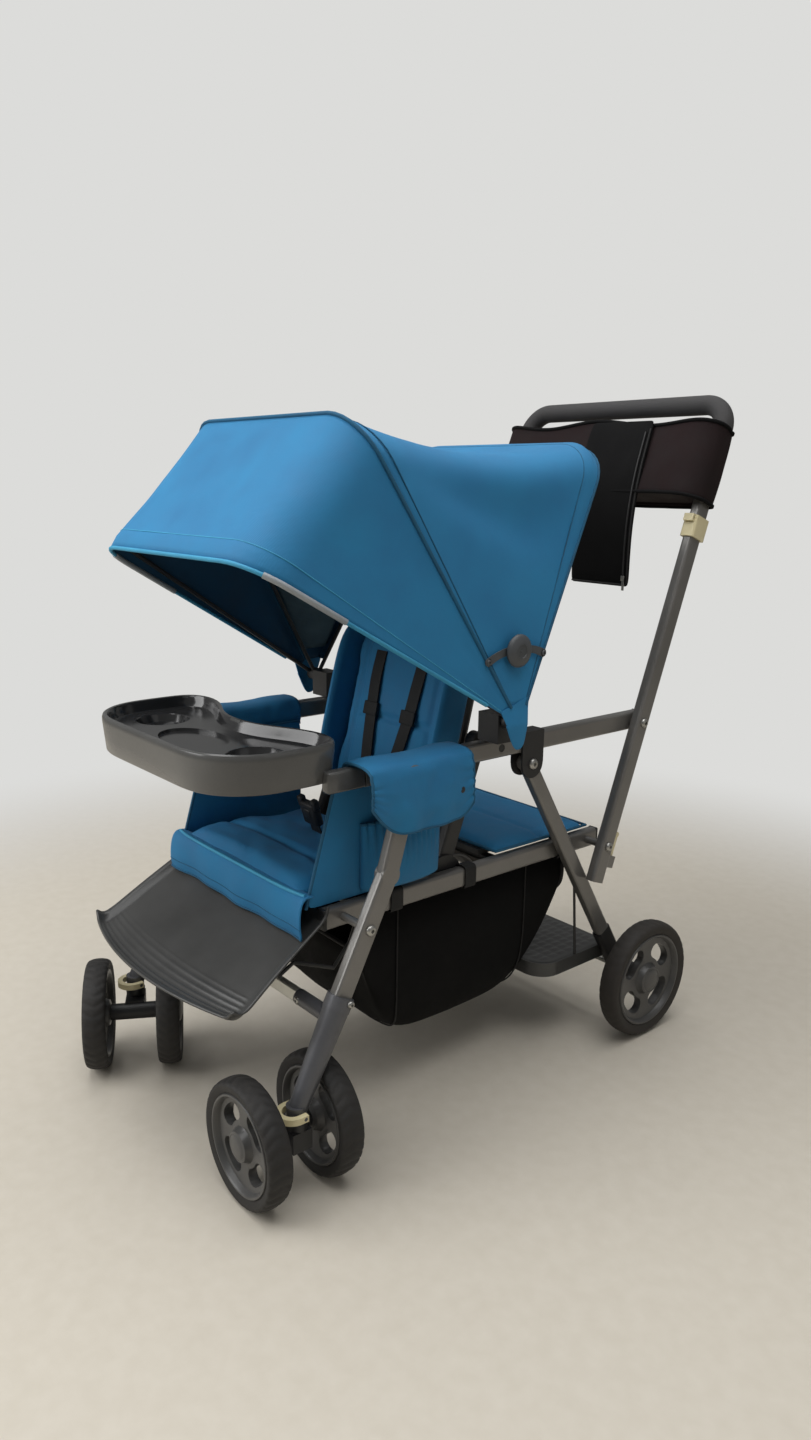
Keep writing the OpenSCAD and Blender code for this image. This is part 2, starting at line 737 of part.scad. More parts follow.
// Plan of the organizer across the handle, grown by g; its long sides bulge forward
module organizer_plan(g) {
    front = organizer_d - organizer_t + g;
    hw = organizer_hw - organizer_t + g;
    round_r = organizer_d / 2;
    translate([-hw, -tube_d / 2 - g / 2]) square([2 * hw, tube_d / 2 + organizer_back + 1.5 * g]);
    for (s = [-1, 1])
        translate([s * (hw - round_r), -front + round_r]) circle(r = round_r);
    translate([-hw + round_r, -front]) square([2 * (hw - round_r), front]);
    translate([-hw, -front + round_r]) square([2 * hw, front - round_r]);
}
module organizer() color("#231a1c") on_handle() difference() {
    translate([0, 0, organizer_low]) linear_extrude(organizer_h) organizer_plan(organizer_t);
    translate([0, 0, organizer_low + organizer_t]) linear_extrude(organizer_h) organizer_plan(0);
    both() translate([handle_mid, 0, organizer_low - cut]) linear_extrude(organizer_h)
        polygon(rounded(tube_w + 2 * seat_gap, tube_d + 2 * seat_gap, tube_r));
}

pouch_x = -6;
module organizer_pouch() color("#121212") {
    face = handle_low + link_dir * organizer_low - [link_dir[1], -link_dir[0]] * (organizer_d + seat_gap);
    top = face + link_dir * organizer_h;
    n = [pouch_t, 0];
    side_plate(pouch_x, pouch_w) polygon([
        top, face, face - [0, pouch_drop], face - [0, pouch_drop] - n, face - n, top - n,
    ]);
}

hook_r = 6;
clip_up = organizer_low - clip_gap - clip_h;
module hook_clips() color("#d9cfae") both() on_handle() translate([handle_mid, 0, clip_up]) difference() {
    union() {
        linear_extrude(clip_h) polygon(rounded(tube_w + 2 * clip_wall, tube_d + 2 * clip_wall, tube_r));
        translate([-tube_w / 2, -tube_d / 2 - clip_wall - hook_r, clip_h - 2 * hook_r])
            cube([tube_w, hook_r + cut, 2 * hook_r]);
    }
    translate([0, 0, -cut]) linear_extrude(clip_h + 2 * cut)
        polygon(rounded(tube_w + 2 * seat_gap, tube_d + 2 * seat_gap, tube_r));
    translate([-tube_w, -tube_d / 2 - clip_wall - hook_r / 2, clip_h - hook_r])
        rotate([0, 90, 0]) cylinder(h = 2 * tube_w, r = hook_r / 3);
}

latch_w = tube_w - 2 * latch_slot - 2 * run_gap;
// Release lever between the lugs behind the handle's foot
module latch_lever(side) color("#d8d3c4") on_handle()
    translate([side * handle_mid - latch_w / 2, latch_back - latch_pin_r, latch_up]) rotate([90, 0, 90])
        linear_extrude(latch_w) difference() {
            union() {
                circle(r = latch_pin_r + latch_rim);
                translate([-latch_pin_r, 0]) square([2 * latch_pin_r, latch_len]);
                translate([0, latch_len]) circle(r = latch_pin_r + latch_rim);
            }
            circle(r = latch_pin_r / 2 + pin_fit);
        }
module latch_lever_left() latch_lever(1);
module latch_lever_right() latch_lever(-1);

// Front legs

module front_leg_tubes() color("#55534f") both() difference() {
    union() {
        tube(collar_at, leg_bend, leg_in);
        tube(leg_bend, leg_high + link_dir * end_past, leg_in);
        cross_rod(leg_in + seat_gap, leg_high, tube_w - 2 * seat_gap, tube_d / 2 + end_grow);
        cross_rod(leg_in, leg_bend, tube_w, tube_d / 2);
        cross_rod(arm_in + run_gap, leg_high, leg_in - arm_in, pin_r);
    }
    cross_rod(leg_in - cut, leg_low, tube_w + 2 * cut, pin_r + pin_fit);
}

module leg_castings() color("#4b4c4e") both() difference() {
    union() {
        translate([swivel_x, collar_at[0], collar_at[1]])
            rotate([180 + atan2(leg_dir[0], -leg_dir[1]), 0, 0]) {
                cylinder(h = norm(leg_foot - collar_at), r1 = collar_r, r2 = foot_r);
                cylinder(h = collar_r, r = collar_r);
            }
        translate([swivel_x, swivel_y, barrel_z]) cylinder(h = barrel_h, r = barrel_r);
        cross_rod(swivel_x - cross_arm, crossbar_at, cross_arm, cross_arm_r);
        cross_rod(swivel_x - barrel_r - lock_pin, [swivel_y, lock_axis_z],
            2 * (barrel_r + lock_pin), lock_pin_r);
    }
    translate([swivel_x, swivel_y, barrel_z - cut]) cylinder(h = stem_len + cut, r = stem_r + pin_fit);
    translate([swivel_x - 2 * collar_r, swivel_y - 2 * collar_r, 0])
        cube([4 * collar_r, 4 * collar_r, barrel_z]);
}

module front_crossbar() color("#b9b9b4")
    translate([0, crossbar_at[0], crossbar_at[1]]) rotate([0, 90, 0])
        linear_extrude(2 * (swivel_x - cross_arm), center = true)
            polygon(rounded(crossbar_h, crossbar_t, crossbar_t / 4));

// Casters, drawn about their swivel axis with the axle along Y and the trail along +X

stem_share = 0.8;
stem_len = barrel_h * stem_share;
neck_r = 15;
neck_h = 12;
fork_hw = pair_span / 2 - front_w / 2 - 2 * run_gap;
boss_r = 13;
lock_pin_r = 2.5;
lock_open = 2;
lock_room = 6;
lock_pin = lock_band + run_gap;
lock_axis_z = barrel_z + barrel_h / 2;
// Places a caster's own frame: its swivel axis, turned so that the axle has the heading
module at_caster(side, heading)
    translate([side * swivel_x, swivel_y, 0]) rotate([0, 0, heading - 90]) children();

module caster_fork(side, heading) color("#1d1d1e") at_caster(side, heading) {
    translate([0, 0, barrel_z - run_gap - neck_h]) cylinder(h = neck_h, r = neck_r);
    translate([0, 0, barrel_z - run_gap - cut]) cylinder(h = stem_len, r = stem_r);
    translate([-neck_r, -neck_r, front_r - boss_r])
        cube([trail + neck_r, 2 * neck_r, barrel_z - run_gap - neck_h - front_r + boss_r + cut]);
    translate([trail, -fork_hw, front_r]) rotate([-90, 0, 0]) cylinder(h = 2 * fork_hw, r = boss_r);
    translate([trail, -pair_span / 2 - front_w / 2, front_r]) rotate([-90, 0, 0])
        cylinder(h = pair_span + front_w, r = axle_r);
}
module caster_fork_left() caster_fork(1, left_heading);
module caster_fork_right() caster_fork(-1, right_heading);

// Swivel lock: a band round the front of the barrel on two side pins
// A U round the barrel, with room in front for its tilt
module lock_plan(r, h) {
    translate([0, -lock_room, 0]) cylinder(h = h, r = r);
    translate([-r, -lock_room, 0]) cube([2 * r, r + lock_room, h]);
}
module swivel_lock(side) color("#d9cfae") translate([side * swivel_x, swivel_y, 0]) {
    inner = barrel_r + run_gap;
    difference() {
        union() {
            translate([0, 0, lock_axis_z - lock_t / 2]) lock_plan(inner + lock_band, lock_t);
            cross_rod(-inner - lock_band, [0, lock_axis_z], 2 * (inner + lock_band), lock_t / 2);
        }
        translate([0, 0, lock_axis_z - lock_t]) lock_plan(inner, 2 * lock_t);
        translate([-2 * inner, lock_pin_r + lock_open, lock_axis_z - lock_t])
            cube([4 * inner, 4 * inner, 2 * lock_t]);
        cross_rod(-2 * inner, [0, lock_axis_z], 4 * inner, lock_pin_r + pin_fit);
    }
}
module swivel_lock_left() swivel_lock(1);
module swivel_lock_right() swivel_lock(-1);

// Wheels, drawn about the Z axis

tyre_share = 0.8;
crown_share = 0.2;
// Half section of a tyre: a crowned tread on a straight-sided bead
function tyre_section(r, w) = concat(
    [[r * tyre_share, w / 2 * tyre_share]],
    [[r * tyre_share, -w / 2 * tyre_share]],
    [for (k = [-4:4]) let (a = k * 90 / 4)
        [r * (1 - crown_share / 2) + r * crown_share / 2 * cos(a), w / 2 * sin(a)]]
);
module tyre(r, w) rotate_extrude($fn = 64) polygon(tyre_section(r, w));

spoke_count = 4;
hub_share = 0.2;
web_share = 0.3;
kidney_share = 0.23;
kidney_sweep = 16;
bead_share = 0.1;
kidney_steps = 6;
// Kidney-shaped outline of a rim's opening: outer arc, round end, inner arc, round end
function kidney(r) =
    let (mid = r * (tyre_share + hub_share) / 2, half = r * (tyre_share - hub_share) * kidney_share,
         w = kidney_sweep, n = kidney_steps)
        concat(
            [for (k = [0:n]) let (a = w * (2 * k / n - 1)) (mid + half) * [cos(a), sin(a)]],
            [for (k = [1:n - 1]) let (a = w + 180 * k / n) mid * [cos(w), sin(w)] + half * [cos(a), sin(a)]],
            [for (k = [0:n]) let (a = w * (1 - 2 * k / n)) (mid - half) * [cos(a), sin(a)]],
            [for (k = [1:n - 1]) let (a = 180 - w + 180 * k / n)
                mid * [cos(w), -sin(w)] + half * [cos(a), sin(a)]]
        );
module rim(r, w) difference() {
    union() {
        rotate_extrude($fn = 64) {
            translate([r * (tyre_share - bead_share), -w * tyre_share / 2])
                square([r * bead_share - seat_gap / 2, w * tyre_share]);
            translate([0, -w * web_share / 2])
                square([r * (tyre_share - bead_share / 2), w * web_share]);
        }
        translate([0, 0, -w / 2]) cylinder(h = w, r = r * hub_share);
    }
    translate([0, 0, -w]) cylinder(h = 2 * w, r = axle_r + pin_fit);
    for (k = [0:spoke_count - 1]) rotate([0, 0, 45 + k * 360 / spoke_count])
        translate([0, 0, -w]) linear_extrude(2 * w) polygon(kidney(r));
}

// Child wheel at its place on a caster: end is -1 for the leading end of the axle, 1 for the other
module on_caster(side, heading, end)
    at_caster(side, heading) translate([trail, end * pair_span / 2, front_r]) rotate([-90, 0, 0]) children();
module front_tyre(side, heading, end) color("#232221") on_caster(side, heading, end) tyre(front_r, front_w);
module front_rim(side, heading, end) color("#3b3c3e") on_caster(side, heading, end) rim(front_r, front_w);
module left_front_tyre() front_tyre(1, left_heading, 1);
module left_front_rim() front_rim(1, left_heading, 1);
module left_rear_tyre() front_tyre(1, left_heading, -1);
module left_rear_rim() front_rim(1, left_heading, -1);
module right_front_tyre() front_tyre(-1, right_heading, -1);
module right_front_rim() front_rim(-1, right_heading, -1);
module right_rear_tyre() front_tyre(-1, right_heading, 1);
module right_rear_rim() front_rim(-1, right_heading, 1);

module on_axle(side)
    translate([side * rear_track, axle[0], axle[1]]) rotate([0, 90, 0]) children();
module rear_tyre_left() color("#2a2725") on_axle(1) tyre(rear_r, rear_w);
module rear_rim_left() color("#3b3c3e") on_axle(1) rim(rear_r, rear_w);
module rear_tyre_right() color("#2a2725") on_axle(-1) tyre(rear_r, rear_w);
module rear_rim_right() color("#3b3c3e") on_axle(-1) rim(rear_r, rear_w);

// Rear legs and platform

bracket_top = axle - leg_dir_rear * bracket_len;
bracket_x = arm_in;
bracket_w = rear_track - rear_w / 2 - run_gap - bracket_x;
module rear_leg_tubes() color("#55534f") both() difference() {
    union() {
        tube(rear_pivot - leg_dir_rear * end_past, bracket_top, arm_in, d = rear_tube_d);
        cross_rod(arm_in + seat_gap, rear_pivot, tube_w - 2 * seat_gap, rear_tube_d / 2 + end_grow);
    }
    cross_rod(arm_in - cut, rear_pivot, tube_w + 2 * cut, pin_r + pin_fit);
}

hub_boss = 17;
module rear_brackets() color("#202021") both() difference() {
    union() {
        tube(bracket_top, axle, bracket_x, w = tube_w, d = rear_tube_d + 2 * cheek_t);
        cross_rod(bracket_x, axle, bracket_w, hub_boss);
    }
    cross_rod(bracket_x - cut, axle, bracket_w + 2 * cut, axle_r + seat_gap / 2);
}

module rear_axle() color("#8d8d8a")
    cross_rod(-rear_track - rear_w / 2, axle, 2 * rear_track + rear_w, axle_r);

platform_back = axle_y - hub_boss - run_gap;
platform_hw = bracket_x - seat_gap;
platform_corner = 40;
module platform_plan(g) {
    hw = platform_hw + g;
    y0 = platform_back - platform_d - g;
    translate([-hw, y0 + platform_corner]) square([2 * hw, platform_d - platform_corner + 2 * g]);
    for (s = [-1, 1])
        translate([s * (hw - platform_corner), y0 + platform_corner]) circle(r = platform_corner);
    translate([-hw + platform_corner, y0]) square([2 * (hw - platform_corner), platform_corner]);
}
rib_t = 3;
platform_ribs = 3;
tail_w = 30;
module standing_platform() color("#2c2c2d") {
    difference() {
        translate([0, 0, platform_z - platform_t]) linear_extrude(platform_t) platform_plan(0);
        translate([0, 0, platform_z - platform_t - cut])
            linear_extrude(platform_t + cut - platform_wall) platform_plan(-platform_wall);
    }
    for (k = [1:platform_ribs])
        translate([-platform_hw + 2 * platform_hw * k / (platform_ribs + 1) - rib_t / 2,
            platform_back - platform_d + platform_wall / 2, platform_z - platform_t])
            cube([rib_t, platform_d - platform_wall, platform_t - platform_wall / 2]);
    both() difference() {
        translate([platform_hw - tail_w, platform_back - platform_wall, platform_z - platform_t])
            cube([tail_w, axle_y - platform_back + platform_wall, platform_t / 2]);
        cross_rod(0, axle, 2 * platform_hw, axle_r + seat_gap / 2);
    }
}

brace_share = 0.55;
module platform_braces() color("#5b5b59") both() {
    head_at = rear_pivot + leg_dir_rear * rear_len * brace_share;
    head = [arm_in - seat_gap - brace_r, head_at[0], head_at[1]];
    foot = [head[0], platform_back - platform_d / 2, platform_z];
    difference() {
        rod(foot - [0, 0, 2 * brace_r], head, brace_r);
        translate([0, 0, platform_z - platform_t]) linear_extrude(platform_t) platform_plan(cut);
    }
    cross_rod(arm_in - seat_gap - 2 * brace_r, head_at, 2 * brace_r, 2 * brace_r);
}

// Arm rails

module arm_rail_tubes() color("#4a4947") both() difference() {
    union() {
        tube([arm_end, arm_z], handle_high + [arm_rear, 0], arm_in);
        cross_rod(arm_in + tube_w / 2, handle_high, handle_in + tube_w / 2 - arm_in, pin_r);
    }
    cross_rod(arm_in - cut, leg_high, tube_w + 2 * cut, pin_r + pin_fit);
    cross_rod(arm_in - cut, post_high, tube_w + 2 * cut, pin_r + pin_fit);
    translate([arm_in + tube_w / 2, arm_end - cut, arm_z]) rotate([-90, 0, 0])
        cylinder(h = peg_len + 2 * cut, r = peg_r + pin_fit);
}

block_d = 46;
module hinge_blocks() color("#1d1d1e") both() difference() {
    union() {
        for (x = [arm_in - run_gap - cheek_t, arm_in + tube_w + run_gap])
            side_plate(x, cheek_t) {
                translate(rear_pivot) circle(r = block_d / 2 - run_gap);
                translate([rear_pivot[0] - block_d / 2, rear_pivot[1]])
                    square([block_d, rear_pivot_drop + tube_d / 2 + cheek_t]);
            }
        translate([arm_in - run_gap - cheek_t, rear_pivot[0] - block_d / 2, arm_z + tube_d / 2 + seat_gap])
            cube([tube_w + 2 * (run_gap + cheek_t), block_d, cheek_t]);
        cross_rod(arm_in - run_gap - cheek_t, rear_pivot, tube_w + 2 * (run_gap + cheek_t), pin_r);
    }
}

mount_w = 30;
mount_pin_r = 4;
bow_layer = 2 * bow_r + run_gap;
mount_pin_len = 3 * bow_layer + 2 * run_gap;
module canopy_mounts() color("#1d1d1e") both() {
    translate([arm_in, canopy_y - mount_w / 2, arm_z + tube_d / 2 + seat_gap])
        cube([bow_in - arm_in - 2 * run_gap, mount_w, canopy_up - tube_d / 2 - seat_gap + mount_w / 3]);
    cross_rod(bow_in - 2 * run_gap - cut, canopy_pivot, mount_pin_len + 2 * run_gap + cut, mount_pin_r);
}

cover_rise = 3;
cover_cols = 14;
cover_in = side_x + side_t + 2 * run_gap;
cover_out = leg_in + tube_w + run_gap;
cover_y0 = tray_back + 4 * run_gap;
cover_len = canopy_y - mount_w / 2 - cover_gap - cover_y0;
// Section of the armrest cover: up the inner side, over the rail and down the outer flap
function cover_section(g) = [
    [cover_in - g, arm_z - cover_drop / 4],
    [cover_in - g, arm_z + tube_d / 2 - tube_r],
    [cover_in + tube_r - g / 2, arm_z + tube_d / 2 + seat_gap + g],
    [arm_in + tube_w, arm_z + tube_d / 2 + seat_gap + g],
    [leg_in, arm_z + tube_d / 2 + cover_rise + g],
    [cover_out - tube_r / 2 + g / 2, arm_z + tube_d / 2 + cover_rise + g],
    [cover_out + g, arm_z + tube_d / 2 + end_grow],
    [cover_out + g, arm_z - cover_drop / 2],
    [cover_out + g, arm_z + tube_d / 2 - cover_drop],
];
module armrest_covers() {
    function row(v, g) = [for (p = cover_section(g)) [p[0], cover_y0 + cover_len * v,
        p[1] + cover_rise * sin(v * 360) * (p[1] < arm_z ? 1 : 0)]];
    color("#1a6f9c") both() skin(
        [for (i = [0:cover_cols]) row(i / cover_cols, cloth_t)],
        [for (i = [0:cover_cols]) row(i / cover_cols, 0)]
    );
}

module arm_posts() color("#2a2a2a") both() difference() {
    union() {
        tube(post_low - link_dir * end_past, post_high + link_dir * end_past, post_in);
        for (p = [post_low, post_high])
            cross_rod(post_in + seat_gap, p, tube_w - 2 * seat_gap, tube_d / 2 + end_grow);
        cross_rod(post_in + tube_w / 2, post_high, arm_in + tube_w / 2 - run_gap - post_in, pin_r);
    }
    cross_rod(post_in - cut, post_low, tube_w + 2 * cut, pin_r + pin_fit);
}

// Snack tray

tray_sink = 2;
tray_rim_z = arm_z + tray_h - tray_sink;
tray_front_r = 95;
tray_rear_r = 34;
belly_r = 170;
belly_in = 44;
module tray_plan(g) difference() {
    hull() for (s = [-1, 1]) {
        translate([s * (tray_hw - tray_rear_r), tray_back - tray_rear_r]) circle(r = tray_rear_r - g);
        translate([s * (tray_hw - tray_front_r), tray_back - tray_d + tray_front_r])
            circle(r = tray_front_r - g);
    }
    translate([0, tray_back + belly_r - belly_in]) circle(r = belly_r + g, $fn = 64);
}
cup_x = 128;
cup_depth = 14;
module tray() color("#38393b") {
    difference() {
        translate([0, 0, tray_rim_z - tray_h]) linear_extrude(tray_h) tray_plan(0);
        translate([0, 0, tray_rim_z - dish_depth]) linear_extrude(tray_h) tray_plan(2 * tray_wall);
        translate([0, 0, tray_rim_z - tray_h - cut])
            linear_extrude(tray_h + cut - dish_depth - cup_depth - tray_wall) tray_plan(tray_wall);
        both() translate([cup_x, tray_back - tray_d / 2, tray_rim_z - dish_depth - cup_depth])
            cylinder(h = tray_h, r = cup_r);
    }
    both() {
        translate([arm_in + run_gap, tray_back - tray_rear_r, arm_z - tube_d / 2])
            cube([tube_w - 2 * run_gap, arm_end - seat_gap - tray_back + tray_rear_r, tube_d]);
        translate([arm_in + tube_w / 2, arm_end - seat_gap - cut, arm_z]) rotate([-90, 0, 0])
            cylinder(h = peg_len, r = peg_r);
    }
}

// Canopy

// Bow about the canopy pivot, drawn upright: two legs leaning in, two bends and a top
bow_angle = 6;
// Half of a bow's path, from its foot to the middle of its top: leg, bend, straight top
function bow_half(x0, len, bend, foot, legs = 1, tops = 1) =
    let (bend_z = len - bend, bend_x = x0 - bend_z * tan(bow_angle) - bend / cos(bow_angle),
         start = [bend_x + bend * cos(bow_angle), bend_z + bend * sin(bow_angle)],
         base = [x0 - foot * tan(bow_angle), foot])
        concat(
            [for (k = [0:legs - 1]) base + (start - base) * k / legs],
            [for (k = [0:bend_steps]) let (a = bow_angle + k * (90 - bow_angle) / bend_steps)
                [bend_x + bend * cos(a), bend_z + bend * sin(a)]],
            [for (k = [1:tops - 1]) [bend_x * (1 - k / tops), len]]
        );
// Whole path of a bow, from its left foot over the top to its right foot
function both_halves(half) = concat(half, [for (k = [len(half) - 1:-1:0]) [-half[k][0], half[k][1]]]);
function bow_x(layer) = bow_in + layer * bow_layer + bow_r;
// The legs lean in only above the eyes, which stay flat side by side
bow_eye = mount_pin_r + 3 * bow_r;
bow_shift = bow_eye * tan(bow_angle);
module bow(len, lean, layer) {
    translate([0, canopy_pivot[0], canopy_pivot[1]]) rotate([-lean, 0, 0]) difference() {
        union() {
            wire(both_halves(concat([[bow_x(layer), mount_pin_r + bow_r]],
                bow_half(bow_x(layer) + bow_shift, len, bow_bend, bow_eye))), bow_r);
            both() translate([bow_x(layer) - bow_r, 0, 0]) rotate([0, 90, 0])
                cylinder(h = 2 * bow_r, r = mount_pin_r + 2 * bow_r);
        }
        both() translate([bow_x(layer) - 2 * bow_r, 0, 0]) rotate([0, 90, 0])
            cylinder(h = 4 * bow_r, r = mount_pin_r + pin_fit);
    }
}
module canopy_rear_bow() color("#3f4042") bow(rear_bow_len, rear_bow_angle, 0);
module canopy_mid_bow() color("#3f4042") bow(mid_bow_len, -mid_bow_angle, 1);
module canopy_front_bow() color("#3f4042") bow(front_bow_len, -front_bow_angle, 2);

// Cloth over the bows, outside the outermost bow's wire: it wraps each bow and is drawn straight between
// two bows, where it sags; a hem runs on past the bow at its free edge
skin_x = bow_x(2) + bow_r + seat_gap + bow_shift;
cloth_foot = 30;
leg_steps = 4;
top_steps = 5;
panel_rows = 7;
wrap_angle = 0.25;
hem_angle = 2.5;
split_angle = 0.05;
function cloth_path(reach, grow) = both_halves(bow_half(skin_x + grow, reach + bow_r + seat_gap + grow,
    bow_bend + bow_r + seat_gap + grow, cloth_foot, leg_steps, top_steps));
// The cloth's line along one bow, from its right foot to its left foot
function cloth_line(lean, reach, grow) =
    let (path = cloth_path(reach, grow))
        [for (k = [len(path) - 1:-1:0]) [
            path[k][0],
            canopy_pivot[0] + path[k][1] * sin(lean),
            canopy_pivot[1] + path[k][1] * cos(lean),
        ]];
// A line at the share v of the way from line a to line b, with the sag deepest over the top
function drawn_line(a, b, v, sag) =
    [for (k = [0:len(a) - 1]) a[k] + (b[k] - a[k]) * v
        - [0, 0, sag * sin(180 * v) * pow(sin(180 * k / (len(a) - 1)), 2)]];
function cloth_rows(front, back, sag, hems, grow) = concat(
    hems[0] == 0 ? [] : [cloth_line(front[0] - hems[0], front[1], grow)],
    [cloth_line(front[0], front[1], grow)],
    let (a = cloth_line(front[0] + wrap_angle, front[1], grow),
         b = cloth_line(back[0] - wrap_angle, back[1], grow))
        [for (i = [0:panel_rows]) drawn_line(a, b, i / panel_rows, sag)],
    [cloth_line(back[0], back[1], grow)],
    hems[1] == 0 ? [] : [cloth_line(back[0] + hems[1], back[1], grow)]
);
module canopy_cloth(front, back, sag, hems)
    skin(cloth_rows(front, back, sag, hems, cloth_t), cloth_rows(front, back, sag, hems, 0));
module canopy_rear_panel() color("#1f78a8")
    canopy_cloth([split_angle - mid_bow_angle, mid_bow_len], [rear_bow_angle, rear_bow_len],
        canopy_sag, [0, hem_angle]);
module canopy_visor() color("#1f78a8")
    canopy_cloth([-front_bow_angle, front_bow_len], [-split_angle - mid_bow_angle, mid_bow_len],
        0, [hem_angle, 0]);

// Over-centre stays outside the cloth, on both sides
stay_t = 2;
stay_layer = stay_t + run_gap;
stay_skin = skin_x + cloth_t - (stay_r - stay_w) * tan(bow_angle);
rivet_in = skin_x + cloth_t - (stay_r - mount_pin_r) * tan(bow_angle) + seat_gap;
stay_x = stay_skin + run_gap;
function on_bow(lean, r) = canopy_pivot + r * [sin(lean), cos(lean)];
stay_rear_end = on_bow(rear_bow_angle, stay_r);
stay_front_end = on_bow(-mid_bow_angle, stay_r);
stay_rise = 10;
stay_knee = (stay_rear_end + stay_front_end) / 2 + [0, stay_rise];
module stay_arm(x, p, q) {
    tube(p, q, x, w = stay_t, d = stay_w, r = stay_t / 4);
    for (e = [p, q]) cross_rod(x, e, stay_t, stay_w / 2);
}
// The rivet that carries a stay, on the cloth over its bow
module stay_rivet(p, x)
    cross_rod(rivet_in, p, x - rivet_in + cut, mount_pin_r);
knob_t = 11;
module stay_arms_rear() color("#56585a") both() {
    stay_arm(stay_x + stay_layer, stay_rear_end, stay_knee);
    stay_rivet(stay_rear_end, stay_x + stay_layer);
    translate([stay_x + stay_layer + stay_t - cut / 2, stay_knee[0], stay_knee[1]]) rotate([0, 90, 0])
        cylinder(h = knob_t, r1 = knob_r, r2 = knob_r * (1 - edge_share));
}
module stay_arms_front() color("#56585a") both() {
    stay_arm(stay_x, stay_front_end, stay_knee);
    stay_rivet(stay_front_end, stay_x);
}

seat_rails();
seat_cross_tubes();
pivot_housings();
seat_boards();
seat_cushion();
calf_flap();
bench_pad();
footrest();
footrest_wires();
basket();
buckle();
seat_sides();
recline_brackets();
backrest_frame();
backrest_cushion();
harness();
handle_tubes();
grip_foam();
organizer();
organizer_pouch();
hook_clips();
latch_lever_left();
latch_lever_right();
front_leg_tubes();
leg_castings();
front_crossbar();
caster_fork_left();
caster_fork_right();
swivel_lock_left();
swivel_lock_right();
left_front_tyre();
left_front_rim();
left_rear_tyre();
left_rear_rim();
right_front_tyre();
right_front_rim();
right_rear_tyre();
right_rear_rim();
rear_tyre_left();
rear_rim_left();
rear_tyre_right();
rear_rim_right();
rear_leg_tubes();
rear_brackets();
rear_axle();
standing_platform();
platform_braces();
arm_rail_tubes();
hinge_blocks();
canopy_mounts();
armrest_covers();
arm_posts();
tray();
canopy_rear_bow();
canopy_mid_bow();
canopy_front_bow();
canopy_rear_panel();
canopy_visor();
stay_arms_rear();
stay_arms_front();
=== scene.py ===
"""Looks of a tandem stroller: cloth, padding, wheels, trim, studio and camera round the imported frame."""
import json
import logging
from dataclasses import dataclass, field
from enum import Enum
from math import atan2, copysign, cos, dist, exp, pi, radians, sin, sqrt, tan, tau
from typing import Callable, Sequence

import bmesh
import bpy
from mathutils import Matrix, Vector, noise


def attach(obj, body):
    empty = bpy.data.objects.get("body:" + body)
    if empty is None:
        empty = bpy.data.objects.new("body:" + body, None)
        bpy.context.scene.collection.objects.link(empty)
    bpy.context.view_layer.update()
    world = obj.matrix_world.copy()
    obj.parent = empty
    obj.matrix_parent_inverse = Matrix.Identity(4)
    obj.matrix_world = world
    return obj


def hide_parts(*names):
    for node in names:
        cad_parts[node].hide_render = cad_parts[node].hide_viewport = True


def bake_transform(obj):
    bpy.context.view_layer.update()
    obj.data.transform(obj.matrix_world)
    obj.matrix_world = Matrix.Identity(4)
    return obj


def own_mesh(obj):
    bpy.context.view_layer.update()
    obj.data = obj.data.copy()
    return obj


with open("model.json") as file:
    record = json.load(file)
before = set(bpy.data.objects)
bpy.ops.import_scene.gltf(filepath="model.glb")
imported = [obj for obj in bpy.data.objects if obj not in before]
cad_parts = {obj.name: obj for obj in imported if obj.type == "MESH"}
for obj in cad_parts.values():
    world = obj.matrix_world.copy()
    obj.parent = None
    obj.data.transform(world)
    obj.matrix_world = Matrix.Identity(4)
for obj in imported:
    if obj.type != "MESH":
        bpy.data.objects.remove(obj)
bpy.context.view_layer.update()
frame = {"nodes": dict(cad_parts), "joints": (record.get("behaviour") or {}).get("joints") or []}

LOG = logging.getLogger("stroller")
MM = 0.001
WEAVE_MAP = "weave"
Point2 = tuple[float, float]
Point3 = tuple[float, float, float]
Outline = tuple[Point2, ...]
Place = Callable[[float, float], Vector]
BMesh = bmesh.types.BMesh
Object = bpy.types.Object
ACROSS = Vector((1, 0, 0))
AHEAD = Vector((0, 1, 0))
UP = Vector((0, 0, 1))
# Points closer than this are one point
SAME = 1e-6
# Blender's wave bands repeat every 2 pi / 20 units at scale 1
WAVE_BANDS = 20
# Spread of the patches, of their gloss and of the painted shade in a relief's hollows
PATCH_RANGE = {"From Min": 0.32, "From Max": 0.68}
GLOSS_RANGE = {"From Min": 0.3, "From Max": 0.7}
HOLLOW_SHADE_RANGE = {"From Min": 0.05, "From Max": 0.5, "To Min": 0.86, "To Max": 1.0}
GLOSS_SHARES = (0.86, 1.14)
PATCH_NOISE = {"Detail": 4.0, "Roughness": 0.6}
RELIEF_NOISE = {"Detail": 3.0, "Roughness": 0.55}
SHEEN_ROUGHNESS = 0.5
COAT_ROUGHNESS = 0.12
RELIEF_SHARE = 0.5
# Pad simulation: pressure, quality and frames
PAD_PRESSURE = 4.0
PAD_QUALITY = 3
PAD_FRAMES = 20


class Surface(Enum):
    """How a finish was made, which sets the relief that its material draws."""

    WEAVE = "woven cloth"
    NET = "open mesh cloth"
    WEBBING = "woven strap"
    PAINT = "sprayed paint on steel"
    MOULDED = "moulded plastic"
    FOAM = "closed-cell foam"
    RUBBER = "moulded rubber"
    METAL = "drawn metal"


def linear(code: str) -> tuple[float, float, float, float]:
    """Turns an sRGB hex colour into linear light.

    Args:
        code: The colour as #rrggbb.

    Returns:
        Red, green, blue and alpha, linear.
    """
    parts = [int(code[i:i + 2], 16) / 255 for i in (1, 3, 5)]
    red, green, blue = (c / 12.92 if c <= 0.04045 else ((c + 0.055) / 1.055) ** 2.4 for c in parts)
    return red, green, blue, 1.0


